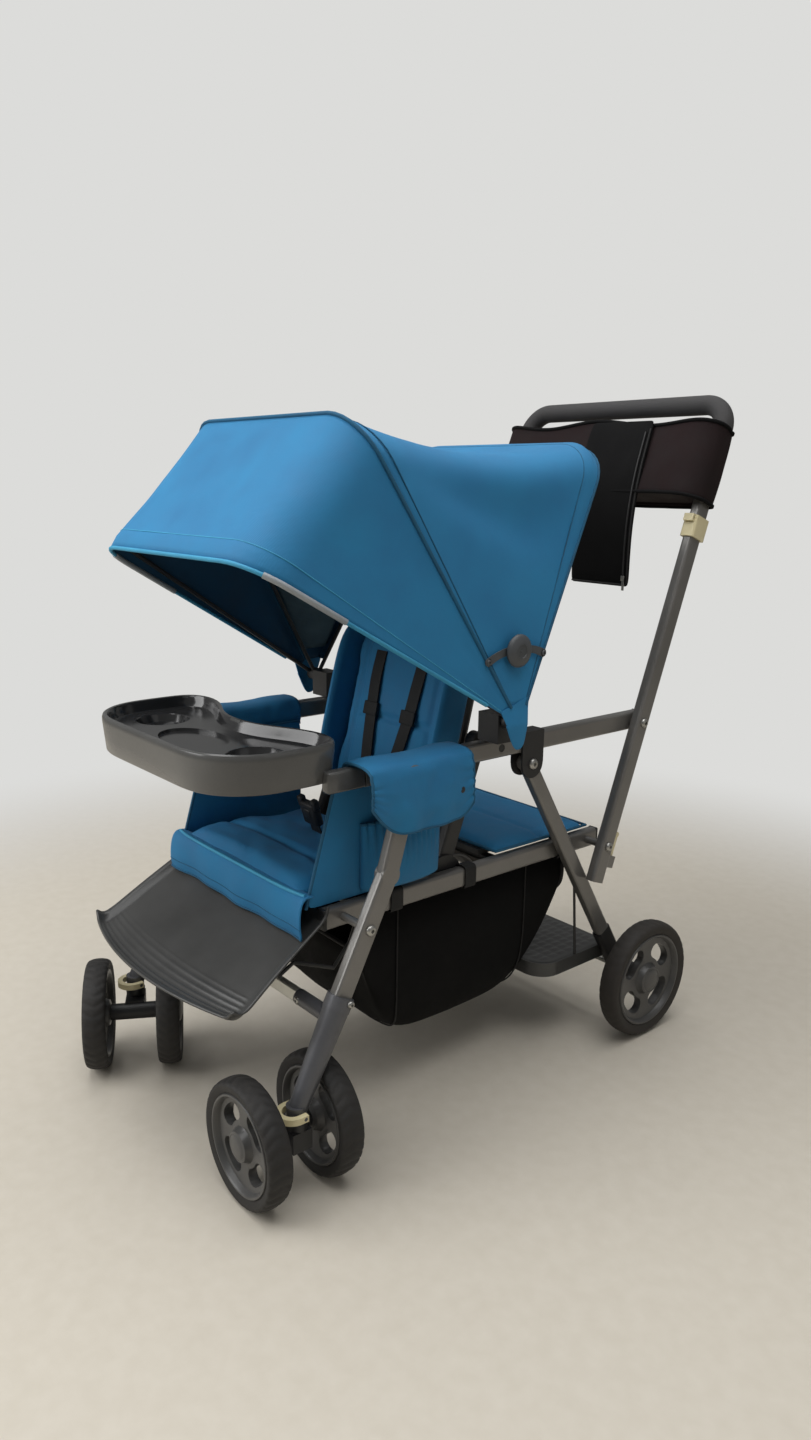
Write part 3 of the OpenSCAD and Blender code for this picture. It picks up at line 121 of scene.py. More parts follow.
def add(tree: bpy.types.NodeTree, kind: str, links: dict | None = None, values: dict | None = None,
        **settings: object) -> bpy.types.Node:
    """Adds one shader node with its settings, socket values and incoming links.

    Args:
        tree: The node tree.
        kind: The node's type name.
        links: Input socket to the output socket that feeds it.
        values: Input socket to its own value.
        settings: The node's own properties.

    Returns:
        The new node.
    """
    node = tree.nodes.new(kind)
    for key, value in settings.items():
        setattr(node, key, value)
    for socket, value in (values or {}).items():
        node.inputs[socket].default_value = value
    for socket, source in (links or {}).items():
        tree.links.new(source, node.inputs[socket])
    return node


@dataclass(frozen=True)
class Finish:
    """One material: its colours, the relief of its surface and how it takes light."""

    name: str
    surface: Surface
    colour: str
    shade: str
    grain_mm: float
    rough: float
    bump: float = 0.2
    patch_mm: float = 70.0
    metallic: float = 0.0
    ior: float = 1.5
    sheen: float = 0.0
    coat: float = 0.0

    def woven(self) -> bool:
        """Tells whether the surface is drawn by threads."""
        return self.surface in (Surface.WEAVE, Surface.NET, Surface.WEBBING)

    def relief(self, tree: bpy.types.NodeTree, where: bpy.types.NodeSocket) -> bpy.types.NodeSocket:
        """Builds the height pattern of the surface.

        Args:
            tree: The material's node tree.
            where: The coordinates that the pattern reads.

        Returns:
            The socket that gives the height.
        """
        period = self.grain_mm * MM
        if self.woven():
            flat = add(tree, "ShaderNodeUVMap", uv_map=WEAVE_MAP).outputs["UV"]
            scale = tau / WAVE_BANDS / period
            warp, weft = (add(tree, "ShaderNodeTexWave", {"Vector": flat}, {"Scale": scale},
                              bands_direction=axis).outputs["Fac"] for axis in ("X", "Y"))
            return add(tree, "ShaderNodeMath", {0: warp, 1: weft}, operation="MULTIPLY").outputs[0]
        if self.surface is Surface.FOAM:
            return add(tree, "ShaderNodeTexVoronoi", {"Vector": where}, {"Scale": 1 / period}).outputs[
                "Distance"]
        return add(tree, "ShaderNodeTexNoise", {"Vector": where},
                   {"Scale": 1 / period, **RELIEF_NOISE}).outputs["Fac"]

    def material(self) -> bpy.types.Material:
        """Finds the finish's material, which is made on its first use.

        Returns:
            The material.
        """
        found = bpy.data.materials.get(self.name)
        if found:
            return found
        made = bpy.data.materials.new(self.name)
        made.use_nodes = True
        tree = made.node_tree
        tree.nodes.clear()
        where = add(tree, "ShaderNodeTexCoord").outputs["Object"]
        patches = add(
            tree, "ShaderNodeTexNoise", {"Vector": where}, {"Scale": 1 / (self.patch_mm * MM), **PATCH_NOISE})
        spread = add(tree, "ShaderNodeMapRange", {"Value": patches.outputs["Fac"]}, PATCH_RANGE)
        height = self.relief(tree, where)
        tint = add(tree, "ShaderNodeMix", {"Factor": spread.outputs[0]},
                   {"A": linear(self.colour), "B": linear(self.shade)}, data_type="RGBA")
        # Painted shade: the relief's hollows darken the base colour, as if shade fell into them
        deep = add(tree, "ShaderNodeMapRange", {"Value": height}, HOLLOW_SHADE_RANGE)
        hollow_shaded_tint = add(tree, "ShaderNodeMix", {"A": tint.outputs["Result"], "B": deep.outputs[0]},
                    {"Factor": 1.0}, data_type="RGBA", blend_type="MULTIPLY")
        low, high = (min(1.0, self.rough * share) for share in GLOSS_SHARES)
        dull = add(tree, "ShaderNodeMapRange", {"Value": patches.outputs["Fac"]},
                   {**GLOSS_RANGE, "To Min": low, "To Max": high})
        raised = add(tree, "ShaderNodeBump", {"Height": height},
                     {"Strength": self.bump, "Distance": self.grain_mm * MM * RELIEF_SHARE})
        shader = add(
            tree, "ShaderNodeBsdfPrincipled",
            {"Base Color": hollow_shaded_tint.outputs["Result"], "Roughness": dull.outputs[0],
            "Normal": raised.outputs["Normal"]},
            {"Metallic": self.metallic, "IOR": self.ior, "Sheen Weight": self.sheen,
            "Sheen Roughness": SHEEN_ROUGHNESS, "Coat Weight": self.coat, "Coat Roughness": COAT_ROUGHNESS})
        add(tree, "ShaderNodeOutputMaterial", {"Surface": shader.outputs[0]})
        return made


# Polyester plain weave, bright blue and matt: threads of half a millimetre, drawn coarser to show
CANOPY_CLOTH = Finish(
    "polyester_weave_blue", Surface.WEAVE, "#1876aa", "#2382b5", 1.3, 0.72, 0.3, 90, sheen=0.04)
# The same weave over padding, a shade deeper, its threads drawn coarser to show
SEAT_CLOTH = Finish("padded_weave_blue", Surface.WEAVE, "#1672a5", "#207eb0", 1.4, 0.75, 0.35, 70, sheen=0.05)
# Cord covered in cloth: a thin navy line along the seams
PIPING = Finish("piping_weave_navy", Surface.WEAVE, "#185576", "#1f6488", 1.4, 0.8, 0.3)
# Folded polyester tape: a brighter turquoise edge
BINDING = Finish("binding_tape_turquoise", Surface.WEAVE, "#3494bd", "#44a4ca", 1.4, 0.7, 0.3)
# Coated back of the canopy cloth: dull and darker than its face
LINING = Finish("lining_weave_dark", Surface.WEAVE, "#1b4967", "#215476", 1.3, 0.85, 0.25)
# Warp-knitted mesh: its open holes read as deep pits in grey
NET_CLOTH = Finish("mesh_cloth_grey", Surface.NET, "#48626e", "#5f7984", 2.4, 0.85, 0.8)
# Retro-reflective tape: fine glass beads that read as pale matt grey
REFLECTIVE = Finish("reflective_tape_grey", Surface.MOULDED, "#8d949a", "#a3a9ad", 1.2, 0.45, 0.1)
# Coated polyester, black: almost no gloss, so that only its folds show
BLACK_CLOTH = Finish("basket_weave_black", Surface.WEAVE, "#0b0b0b", "#121212", 1.5, 0.8, 0.35, ior=1.25)
# Polypropylene webbing: coarse ribs across a black strap
BLACK_TAPE = Finish("webbing_black", Surface.WEBBING, "#101010", "#191919", 1.7, 0.72, 0.5)
# Neoprene with a knitted face: soft, dull and brown-black
NEOPRENE = Finish("neoprene_dark_brown", Surface.WEAVE, "#1d1415", "#261b1c", 1.6, 0.86, 0.3, 50, ior=1.3)
# Knitted polyester: the deepest black, without gloss
POUCH_CLOTH = Finish("pouch_knit_black", Surface.WEAVE, "#0a0a0b", "#111112", 1.6, 0.85, 0.3, ior=1.25)
# Metallic enamel sprayed on steel tube: satin bronze-grey with a slight orange peel
FRAME_PAINT = Finish(
    "enamel_bronze_grey", Surface.PAINT, "#74726f", "#7f7d7a", 2.2, 0.33, 0.05, 120, 0.5, coat=0.2)
# Dark enamel on steel wire and tube: soft highlights
DARK_PAINT = Finish("enamel_dark_grey", Surface.PAINT, "#2c2c2c", "#363635", 2.2, 0.45, 0.05, 120, 0.2)
# Die-cast zinc, painted: a satin grey that is a little uneven
CASTING = Finish("cast_zinc_satin_grey", Surface.PAINT, "#55565a", "#616266", 1.6, 0.38, 0.08, 60, 0.35)
# Drawn aluminium bar: pale and satin
PALE_METAL = Finish("aluminium_bar_satin", Surface.METAL, "#c6c5bd", "#d3d2ca", 1.5, 0.35, 0.06, 40, 0.6)
# Zinc-plated steel: bright heads of bolts and studs
STEEL = Finish("zinc_plated_steel", Surface.METAL, "#9b9a96", "#b3b2ad", 1.0, 0.3, 0.05, 20, 0.85)
# Moulded polypropylene, black: a fine spark-eroded grain, half matt
BLACK_PLASTIC = Finish("polypropylene_black", Surface.MOULDED, "#1c1c1d", "#262627", 1.3, 0.5, 0.12)
# Moulded polypropylene, dark grey: the same grain with more shine
DARK_PLASTIC = Finish("polypropylene_dark_grey", Surface.MOULDED, "#3d3d3c", "#484847", 1.5, 0.34, 0.12, 110)
# Polished ABS: clear reflections on charcoal
TRAY_PLASTIC = Finish(
    "abs_gloss_charcoal", Surface.MOULDED, "#2a2a2b", "#333334", 2.4, 0.15, 0.015, 150, coat=0.4)
# Satin ABS: soft reflections on grey
TRAY_SKIRT = Finish("abs_satin_grey", Surface.MOULDED, "#4c4c4b", "#555554", 2.0, 0.22, 0.03, 120, coat=0.25)
# Moulded nylon: a dry, even grey
STAY_PLASTIC = Finish("nylon_grey", Surface.MOULDED, "#45484b", "#505356", 1.2, 0.42, 0.1)
# Moulded nylon, darker: soft highlights round the openings
RIM_PLASTIC = Finish("nylon_dark_grey", Surface.MOULDED, "#444443", "#4f4e4d", 1.4, 0.34, 0.1)
# Moulded acetal: waxy cream
CREAM_PLASTIC = Finish("acetal_cream", Surface.MOULDED, "#d6ca9f", "#ded4b0", 1.5, 0.42, 0.08)
# Closed-cell foam: dull, with cells drawn coarser so that they show
FOAM = Finish("foam_dark_grey", Surface.FOAM, "#343334", "#3e3d3d", 2.2, 0.82, 0.35)
# Moulded EVA rubber: dull black with dusty patches
TYRE_RUBBER = Finish("eva_rubber_black", Surface.RUBBER, "#1f1e1d", "#2a2826", 1.6, 0.7, 0.2, 25)
# The same rubber, worn: browner and duller
WORN_RUBBER = Finish("eva_rubber_worn", Surface.RUBBER, "#282522", "#332f2b", 1.6, 0.72, 0.2, 30)


def weave_map(mesh: bpy.types.Mesh) -> None:
    """Writes flat cloth coordinates in metres, taken along each face's main direction.

    Args:
        mesh: The mesh that gets the map.
    """
    flat = mesh.uv_layers.get(WEAVE_MAP) or mesh.uv_layers.new(name=WEAVE_MAP)
    for face in mesh.polygons:
        main = max(range(3), key=lambda k: abs(face.normal[k]))
        across, up = (k for k in range(3) if k != main)
        for loop in face.loop_indices:
            spot = mesh.vertices[mesh.loops[loop].vertex_index].co
            flat.data[loop].uv = spot[across], spot[up]


def new_piece(name: str, bm: BMesh, *finishes: Finish, angle: float = 50.0) -> Object:
    """Turns a bmesh into a shaded object at the origin.

    Args:
        name: The piece's name.
        bm: The mesh, in the row frame; it is freed.
        finishes: One finish for each material index.
        angle: Edges sharper than this many degrees stay sharp.

    Returns:
        The new object.
    """
    mesh = bpy.data.meshes.new(name)
    bm.to_mesh(mesh)
    bm.free()
    for finish in finishes:
        mesh.materials.append(finish.material())
    if any(finish.woven() for finish in finishes):
        weave_map(mesh)
    mesh.polygons.foreach_set("use_smooth", [True] * len(mesh.polygons))
    mesh.set_sharp_from_angle(angle=radians(angle))
    made = bpy.data.objects.new(name, mesh)
    bpy.context.scene.collection.objects.link(made)
    LOG.info("%s: %d faces", name, len(mesh.polygons))
    return made


def clamp(value: float) -> float:
    """Limits a share to the range from 0 to 1."""
    return max(0.0, min(1.0, value))


def hump(share: float) -> float:
    """Gives a smooth rise and fall, nil at shares of 0 and 1."""
    return sin(pi * share)


def walk(count: int) -> list[float]:
    """Gives even shares from 0 to 1."""
    return [k / count for k in range(count + 1)]


def between(first: Point2, last: Point2, share: float) -> Point2:
    """Gives the point at a share of the way between two points."""
    return first[0] + (last[0] - first[0]) * share, first[1] + (last[1] - first[1]) * share


def seam(distance: float, width: float) -> float:
    """Gives the share of a sewn line's depth at a distance from it."""
    return exp(-(distance / width) ** 2)


def rounding(value: float, start: float) -> float:
    """Gives the share of a corner's rounding, which grows from its start to 1."""
    return (max(0.0, value - start) / (1 - start)) ** 2


def bulge(first: float, last: float, powers: Point2) -> float:
    """Gives the share of a pad's height, full in the middle and nil at its edges."""
    return sqrt(max(0.0, (1 - abs(first) ** powers[0]) * (1 - abs(last) ** powers[1])))


def ruffle(spot: Sequence[float], pitch: Sequence[float]) -> float:
    """Gives the height of soft noise at a point, with its own pitch along each axis."""
    return noise.noise(Vector([value * scale for value, scale in zip(spot, pitch)]))


def turned_up(axis: Vector) -> Matrix:
    """Gives the turn from the Z axis to another."""
    return UP.rotation_difference(axis.normalized()).to_matrix().to_4x4()


def moved(bm: BMesh, matrix: Matrix) -> BMesh:
    """Moves a mesh and gives it back."""
    bmesh.ops.transform(bm, matrix=matrix, verts=bm.verts)
    return bm


def walled(bm: BMesh, wall: float) -> BMesh:
    """Gives an open mesh its wall."""
    bmesh.ops.solidify(bm, geom=bm.faces, thickness=wall)
    return bm


def softened(bm: BMesh) -> BMesh:
    """Smooths a pad's edges."""
    bmesh.ops.smooth_vert(bm, verts=bm.verts, factor=0.4, use_axis_x=True, use_axis_y=True, use_axis_z=True)
    return bm


def arc(centre: Point2, radius: float, start: float, sweep: float) -> list[Point2]:
    """Draws an arc of eight steps."""
    angles = [start + sweep * share for share in walk(8)]
    return [(centre[0] + radius * cos(angle), centre[1] + radius * sin(angle)) for angle in angles]


def baked(piece: Object) -> bpy.types.Mesh:
    """Gives a copy of a piece's mesh with its modifiers applied."""
    return bpy.data.meshes.new_from_object(piece.evaluated_get(bpy.context.evaluated_depsgraph_get()))


def carved(body: BMesh, knife: BMesh, edge: float = 0.0) -> BMesh:
    """Cuts one mesh out of another.

    Args:
        body: The mesh that is cut, which is freed.
        knife: The closed mesh that is cut away, which is freed.
        edge: Width of the bevel on sharp edges, where there is one.

    Returns:
        The cut mesh.
    """
    solids = []
    for name, bm in (("carved", body), ("knife", knife)):
        solids.append(bpy.data.objects.new(name, bpy.data.meshes.new(name)))
        bm.to_mesh(solids[-1].data)
        bm.free()
        bpy.context.scene.collection.objects.link(solids[-1])
    block, blade = solids
    cut = block.modifiers.new("cut", "BOOLEAN")
    cut.object = blade
    cut.solver = "EXACT"
    cut.operation = "DIFFERENCE"
    if edge:
        soft = block.modifiers.new("edges", "BEVEL")
        soft.width = edge
        soft.segments = 2
        soft.limit_method = "ANGLE"
        soft.angle_limit = radians(50)
    result = bmesh.new()
    mesh = baked(block)
    result.from_mesh(mesh)
    for data in (mesh, block.data, blade.data):
        bpy.data.meshes.remove(data)
    return result


def sheet_grid(columns: int, rows: int, place: Place, away_from: Vector | None = None,
               wrap: bool = False) -> BMesh:
    """Lays a grid of faces on a surface.

    Args:
        columns: Faces along u.
        rows: Faces along v.
        place: Gives the point for u and v, each from 0 to 1.
        away_from: Faces are turned to look away from this point.
        wrap: Joins the u edges.

    Returns:
        The mesh.
    """
    bm = bmesh.new()
    bmesh.ops.create_grid(bm, x_segments=columns, y_segments=rows, size=0.5)
    for vert in bm.verts:
        vert.co = place(clamp(vert.co.x + 0.5), clamp(vert.co.y + 0.5))
    if wrap:
        bmesh.ops.remove_doubles(bm, verts=bm.verts, dist=SAME)
    bm.normal_update()
    if away_from is not None:
        facing = sum((f.calc_center_median() - away_from).dot(f.normal) * f.calc_area() for f in bm.faces)
        if facing < 0:
            bmesh.ops.reverse_faces(bm, faces=bm.faces)
    return bm


def block_grid(cuts: int, place: Callable[[Vector], Vector]) -> BMesh:
    """Shapes a finely divided cube.

    Args:
        cuts: Cuts along each edge.
        place: Gives the point for a cube point with each coordinate from -1 to 1.

    Returns:
        The closed mesh.
    """
    bm = bmesh.new()
    bmesh.ops.create_cube(bm, size=2.0)
    bmesh.ops.subdivide_edges(bm, edges=bm.edges, cuts=cuts, use_grid_fill=True)
    for vert in bm.verts:
        vert.co = place(vert.co)
    bmesh.ops.recalc_face_normals(bm, faces=bm.faces)
    return bm


def lathe(profile: Sequence[Point2], at: Vector, axis: Vector, steps: int = 24) -> BMesh:
    """Spins a profile about an axis.

    Args:
        profile: Points as radius and height.
        at: The foot of the axis.
        axis: The direction of growing height.
        steps: Faces round the axis.

    Returns:
        The mesh.
    """
    bm = bmesh.new()
    line = [bm.verts.new((radius, 0.0, height)) for radius, height in profile]
    edges = [bm.edges.new(ends) for ends in zip(line, line[1:])]
    bmesh.ops.spin(bm, geom=[*line, *edges], cent=(0, 0, 0), axis=UP, angle=tau, steps=steps, use_merge=True)
    bmesh.ops.remove_doubles(bm, verts=bm.verts, dist=SAME)
    bmesh.ops.recalc_face_normals(bm, faces=bm.faces)
    return moved(bm, Matrix.Translation(at) @ turned_up(axis))


def tube(points: Sequence[Vector], radius: float, closed: bool = False, sides: int = 2) -> BMesh:
    """Sweeps a round section along points.

    Args:
        points: The line that it follows.
        radius: Radius of the section.
        closed: Joins the last point to the first.
        sides: Blender's bevel resolution.

    Returns:
        The mesh.
    """
    curve = bpy.data.curves.new("line", "CURVE")
    curve.dimensions = "3D"
    curve.bevel_depth = radius
    curve.bevel_resolution = sides
    curve.use_fill_caps = True
    spline = curve.splines.new("POLY")
    spline.points.add(len(points) - 1)
    for spot, point in zip(spline.points, points):
        spot.co = (*point, 1.0)
    spline.use_cyclic_u = closed
    carrier = bpy.data.objects.new("line", curve)
    bpy.context.scene.collection.objects.link(carrier)
    mesh = baked(carrier)
    bm = bmesh.new()
    bm.from_mesh(mesh)
    bpy.data.objects.remove(carrier)
    bpy.data.meshes.remove(mesh)
    bpy.data.curves.remove(curve)
    return bm


def joined(parts: Sequence[BMesh]) -> BMesh:
    """Joins meshes into one.

    Args:
        parts: The meshes, which are freed.

    Returns:
        One mesh that holds them all.
    """
    whole = bmesh.new()
    for part in parts:
        mesh = bpy.data.meshes.new("part")
        part.to_mesh(mesh)
        part.free()
        whole.from_mesh(mesh)
        bpy.data.meshes.remove(mesh)
    return whole


def flipped(bm: BMesh) -> BMesh:
    """Makes the mirror image of a mesh across the middle plane.

    Args:
        bm: The left side, which stays.

    Returns:
        The right side.
    """
    other = bm.copy()
    bmesh.ops.scale(other, vec=(-1, 1, 1), verts=other.verts)
    bmesh.ops.reverse_faces(other, faces=other.faces)
    return other


def mirrored(bm: BMesh) -> BMesh:
    """Adds the mirror image of a mesh across the middle plane."""
    return joined([bm, flipped(bm)])


def pair(name: str, bm: BMesh, *finishes: Finish) -> list[Object]:
    """Makes a left piece and its mirror image."""
    other = flipped(bm)
    return [new_piece(f"{name}_left", bm, *finishes), new_piece(f"{name}_right", other, *finishes)]


def box(size: Sequence[float], at: Sequence[float], edge: float) -> BMesh:
    """Makes a block with rounded edges.

    Args:
        size: Its three sizes.
        at: Its middle.
        edge: Radius of the edges.

    Returns:
        The mesh.
    """
    bm = bmesh.new()
    bmesh.ops.create_cube(bm, size=1.0)
    bmesh.ops.scale(bm, vec=size, verts=bm.verts)
    bmesh.ops.bevel(bm, geom=bm.edges, offset=edge, segments=3, profile=0.5, affect="EDGES", material=-1)
    return moved(bm, Matrix.Translation(at))


def bolt(at: Vector, axis: Vector, radius: float, height: float) -> BMesh:
    """Makes a domed bolt head with a socket."""
    shares = [(1, 0), (1, 0.35), (0.85, 0.8), (0.5, 1), (0.36, 1), (0.32, 0.4), (0, 0.4)]
    return lathe([(radius * out, height * rise) for out, rise in shares], at, axis, 18)


def smoothed(points: Sequence[Point2], rounds: int = 2) -> list[Point2]:
    """Rounds the corners of an open line.

    Args:
        points: The line's points.
        rounds: How often each corner is cut.

    Returns:
        The smoother line.
    """
    line = list(points)
    for _ in range(rounds):
        cut = [line[0]]
        for ends in zip(line, line[1:]):
            cut += [between(*ends, share) for share in (0.25, 0.75)]
        line = [*cut, line[-1]]
    return line


def along(line: Sequence[Point2], share: float) -> Point2:
    """Finds the point at a share of an open line's length.

    Args:
        line: The line's points.
        share: From 0 at its start to 1 at its end.

    Returns:
        The point.
    """
    spans = [dist(a, b) for a, b in zip(line, line[1:])]
    left = share * sum(spans)
    for (a, b), span in zip(zip(line, line[1:]), spans):
        if left <= span or (a, b) == (line[-2], line[-1]):
            return between(a, b, min(1.0, left / span) if span else 0.0)
        left -= span
    return line[-1]


def thicken(piece: Object, wall: float, offset: float = 1.0, inside: int = 0) -> None:
    """Gives a sheet its thickness.

    Args:
        piece: The sheet.
        wall: Its thickness.
        offset: 1 grows along the faces' normals, -1 against them.
        inside: Material index added on the inner face.
    """
    solid = piece.modifiers.new("wall", "SOLIDIFY")
    solid.thickness = wall
    solid.offset = offset
    solid.material_offset = inside


def finer(piece: Object) -> None:
    """Adds one level of subdivision, the same in view and render."""
    smooth = piece.modifiers.new("finer", "SUBSURF")
    smooth.levels = smooth.render_levels = 1


def inflate(piece: Object, voxel: float, cap: float, finish: Finish) -> None:
    """Swells a pad by a short cloth simulation with pressure and no gravity.

    Args:
        piece: The pad; its mesh is replaced.
        voxel: Voxel of the remesh.
        cap: Farthest that a point may move.
        finish: The pad's finish.
    """
    scene = bpy.context.scene
    mesher = piece.modifiers.new("voxel", "REMESH")
    mesher.mode = "VOXEL"
    mesher.voxel_size = voxel
    start = baked(piece)
    piece.modifiers.clear()
    piece.data = start
    rest = [v.co.copy() for v in start.vertices]
    cloth = piece.modifiers.new("cloth", "CLOTH")
    cloth.settings.use_pressure = True
    cloth.settings.uniform_pressure_force = PAD_PRESSURE
    cloth.settings.effector_weights.gravity = 0.0
    cloth.settings.quality = PAD_QUALITY
    cloth.collision_settings.use_collision = False
    cloth.point_cache.frame_start = 1
    cloth.point_cache.frame_end = PAD_FRAMES
    for number in range(1, PAD_FRAMES + 1):
        scene.frame_set(number)
    swollen = baked(piece)
    piece.modifiers.clear()
    for vert, home in zip(swollen.vertices, rest):
        way = vert.co - home
        vert.co = home + way * min(1.0, cap / max(way.length, SAME))
    scene.frame_set(1)
    swollen.materials.clear()
    swollen.materials.append(finish.material())
    swollen.polygons.foreach_set("use_smooth", [True] * len(swollen.polygons))
    weave_map(swollen)
    piece.data = swollen
    finer(piece)


def press(piece: Object, depth_at: Callable[[Vector], float]) -> None:
    """Presses sewn lines into a pad.

    Args:
        piece: The pad.
        depth_at: Depth by which a point sinks against its normal.
    """
    mesh = piece.data
    moved = [(v.co - v.normal * depth_at(v.co)) for v in mesh.vertices]
    for vert, point in zip(mesh.vertices, moved):
        vert.co = point
    mesh.update()


def dress(nodes: Sequence[str], finish: Finish) -> None:
    """Gives CAD nodes a finish.

    Args:
        nodes: Their names.
        finish: The finish.
    """
    for name in nodes:
        mesh = frame["nodes"][name].data
        mesh.materials.clear()
        mesh.materials.append(finish.material())


def settle(piece: Object, body: str, slot: str, *nodes: str) -> Object:
    """Puts a piece on its body and hides the CAD nodes that it stands for.

    Args:
        piece: The piece.
        body: The CAD body that carries it.
        slot: The record's material slot; not used.
        nodes: CAD nodes that it replaces.

    Returns:
        The piece.
    """
    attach(piece, body)
    if nodes:
        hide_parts(*nodes)
    return piece


@dataclass(frozen=True)
class Span:
    """Cloth between two bows: the lean in degrees and length of each, and the hollow between them."""

    first: Point2
    last: Point2
    sag: float


@dataclass
class Canopy:
    """Canopy cloth drawn over three bows, with its piping, hems, reflective strips, tongues and stays."""

    # Bows
    pivot: Point2 = (-0.027, 0.6)
    taper: float = radians(6)
    bend: float = 0.062
    skin: float = 0.254724
    wire: float = 0.0038
    # Each bow's lean behind the vertical in degrees, and its length
    rear: Point2 = (27.0, 0.44)
    mid: Point2 = (-31.5, 0.482)
    front: Point2 = (-57.5, 0.47)
    # Cloth, with its hem in degrees
    foot: float = 0.03
    wall: float = 0.0016
    lift: float = 0.0012
    hem: float = 2.5
    hem_turn: float = 0.016
    rear_sag: float = 0.036
    visor_sag: float = 0.006
    columns: int = 110
    rows: int = 30
    # Folds
    ripple: Point2 = (0.006, 0.005)
    ripple_pitch: Point3 = (8, 9, 6)
    crumple: float = 0.0012
    crumple_pitch: Point3 = (30, 26, 22)
    pleat: float = 0.01
    pleat_turn: float = radians(540)
    pleat_shift: float = 1.1
    pleat_reach: float = 2.6
    # One long crease on the left
    crease: Point2 = (0.008, 0.009)
    crease_start: float = 0.335
    crease_drift: float = 0.12
    crease_width: float = 0.045
    # Trim
    hem_cord: float = 0.0024
    piping_cord: float = 0.0027
    piping_lift: float = 0.0006
    binding_cord: float = 0.003
    strip_cord: float = 0.0042
    binding_sink: float = -0.001
    binding_span: Point2 = (0.03, 0.97)
    strip_spans: tuple[Point2, Point2] = ((0.235, 0.335), (0.665, 0.765))
    # Net, with its start and reach as shares of the rear cloth
    net_across: Point2 = (0.7, 0.28)
    net_along: Point2 = (0.06, 0.88)
    net_inset: float = -0.006
    net_wall: float = 0.0008
    # Tongues, with their outlines round the pivot
    tongue_fore: Outline = (
        (-0.036, 0.022), (-0.025, -0.002), (-0.0135, -0.027), (-0.007, -0.0345), (-0.003, -0.035))
    tongue_aft: Outline = (
        (0.0215, 0.038), (0.015, 0.004), (0.0085, -0.027), (0.003, -0.0345), (-0.003, -0.035))
    tongue_face: float = 0.2584
    tongue_slope: float = 0.105
    tongue_puff: float = 0.0012
    tuck: float = 0.0022
    tuck_from: float = 0.002
    tuck_run: float = 0.02
    tongue_edge: float = 0.0014
    tongue_edge_face: float = 0.2586
    tongue_edge_top: float = 0.004
    # Stays
    stay_near: float = 0.247924
    stay_far: float = 0.250424
    stay_rear_end: Point2 = (0.02294, 0.69801)
    stay_front_end: Point2 = (-0.08447, 0.69379)
    stay_knee: Point2 = (-0.03077, 0.7059)
    stay_rise: float = 0.004
    stay_width: float = 0.0132
    stay_waist: float = 0.16
    stay_wall: float = 0.0019
    stay_eye: float = 0.0058
    rivet: Point2 = (0.0042, 0.0022)
    knob: Outline = (
        (0.0225, 0), (0.0238, 0.002), (0.0234, 0.0045), (0.019, 0.0078), (0.0098, 0.0094), (0.0092, 0.0084),
        (0.0026, 0.0084), (0.0024, 0.0092), (0, 0.0092))

    def point(self, s: float, lean: float, length: float, grow: float) -> Vector:
        """Finds a point of the cloth's line over a bow.

        Args:
            s: Share over the bow, from left to right.
            lean: Lean of the bow behind the vertical, in degrees.
            length: Length of the bow.
            grow: Distance outside the bow's wire.

        Returns:
            The point.
        """
        face = self.skin + grow
        reach = length + self.wire + grow
        bend = self.bend + self.wire + grow
        slope = tan(self.taper)
        bend_z = reach - bend
        bend_x = face - bend_z * slope - bend / cos(self.taper)
        base = (face - self.foot * slope, self.foot)
        start = (bend_x + bend * cos(self.taper), bend_z + bend * sin(self.taper))
        leg = dist(base, start)
        curve = bend * (pi / 2 - self.taper)
        gone = (leg + curve + bend_x) * (1 - abs(2 * s - 1))
        if gone < leg:
            x, r = between(base, start, gone / leg)
        elif gone < leg + curve:
            turn = self.taper + (gone - leg) / bend
            x, r = bend_x + bend * cos(turn), bend_z + bend * sin(turn)
        else:
            x, r = bend_x - (gone - leg - curve), reach
        angle = radians(lean)
        side = 1 if s <= 0.5 else -1
        return Vector((side * x, self.pivot[0] + r * sin(angle), self.pivot[1] + r * cos(angle)))

    def drawn(self, s: float, v: float, span: Span, grow: float) -> Vector:
        """Finds a point of cloth drawn straight from one bow to the next.

        Args:
            s: Share over the bows, from left to right.
            v: Share between the bows, and past them into the hem.
            span: The two bows.
            grow: Distance outside the bows' wire.

        Returns:
            The point.
        """
        if v < 0:
            return self.point(s, span.first[0] + self.hem * v, span.first[1], grow)
        if v > 1:
            turned = self.hem_turn * max(0.0, v - 2)
            return self.point(s, span.last[0] + self.hem * min(1.0, v - 1), span.last[1], grow - turned)
        spot = self.point(s, *span.first, grow).lerp(self.point(s, *span.last, grow), v)
        spot.z -= span.sag * hump(v) * hump(s) ** 2
        return spot

    def cloth(self, name: str, span: Span, start: float, end: float) -> Object:
        """Makes one panel between two bows.

        Args:
            name: The piece's name.
            span: The two bows.
            start: Share between the bows where it starts, with its hem.
            end: Share where it ends, with its hem.

        Returns:
            The panel.
        """
        stops = [start, start / 2] if start < 0 else []
        stops += walk(self.rows)
        stops += [1 + k / 2 for k in range(1, round(2 * end) - 1)]

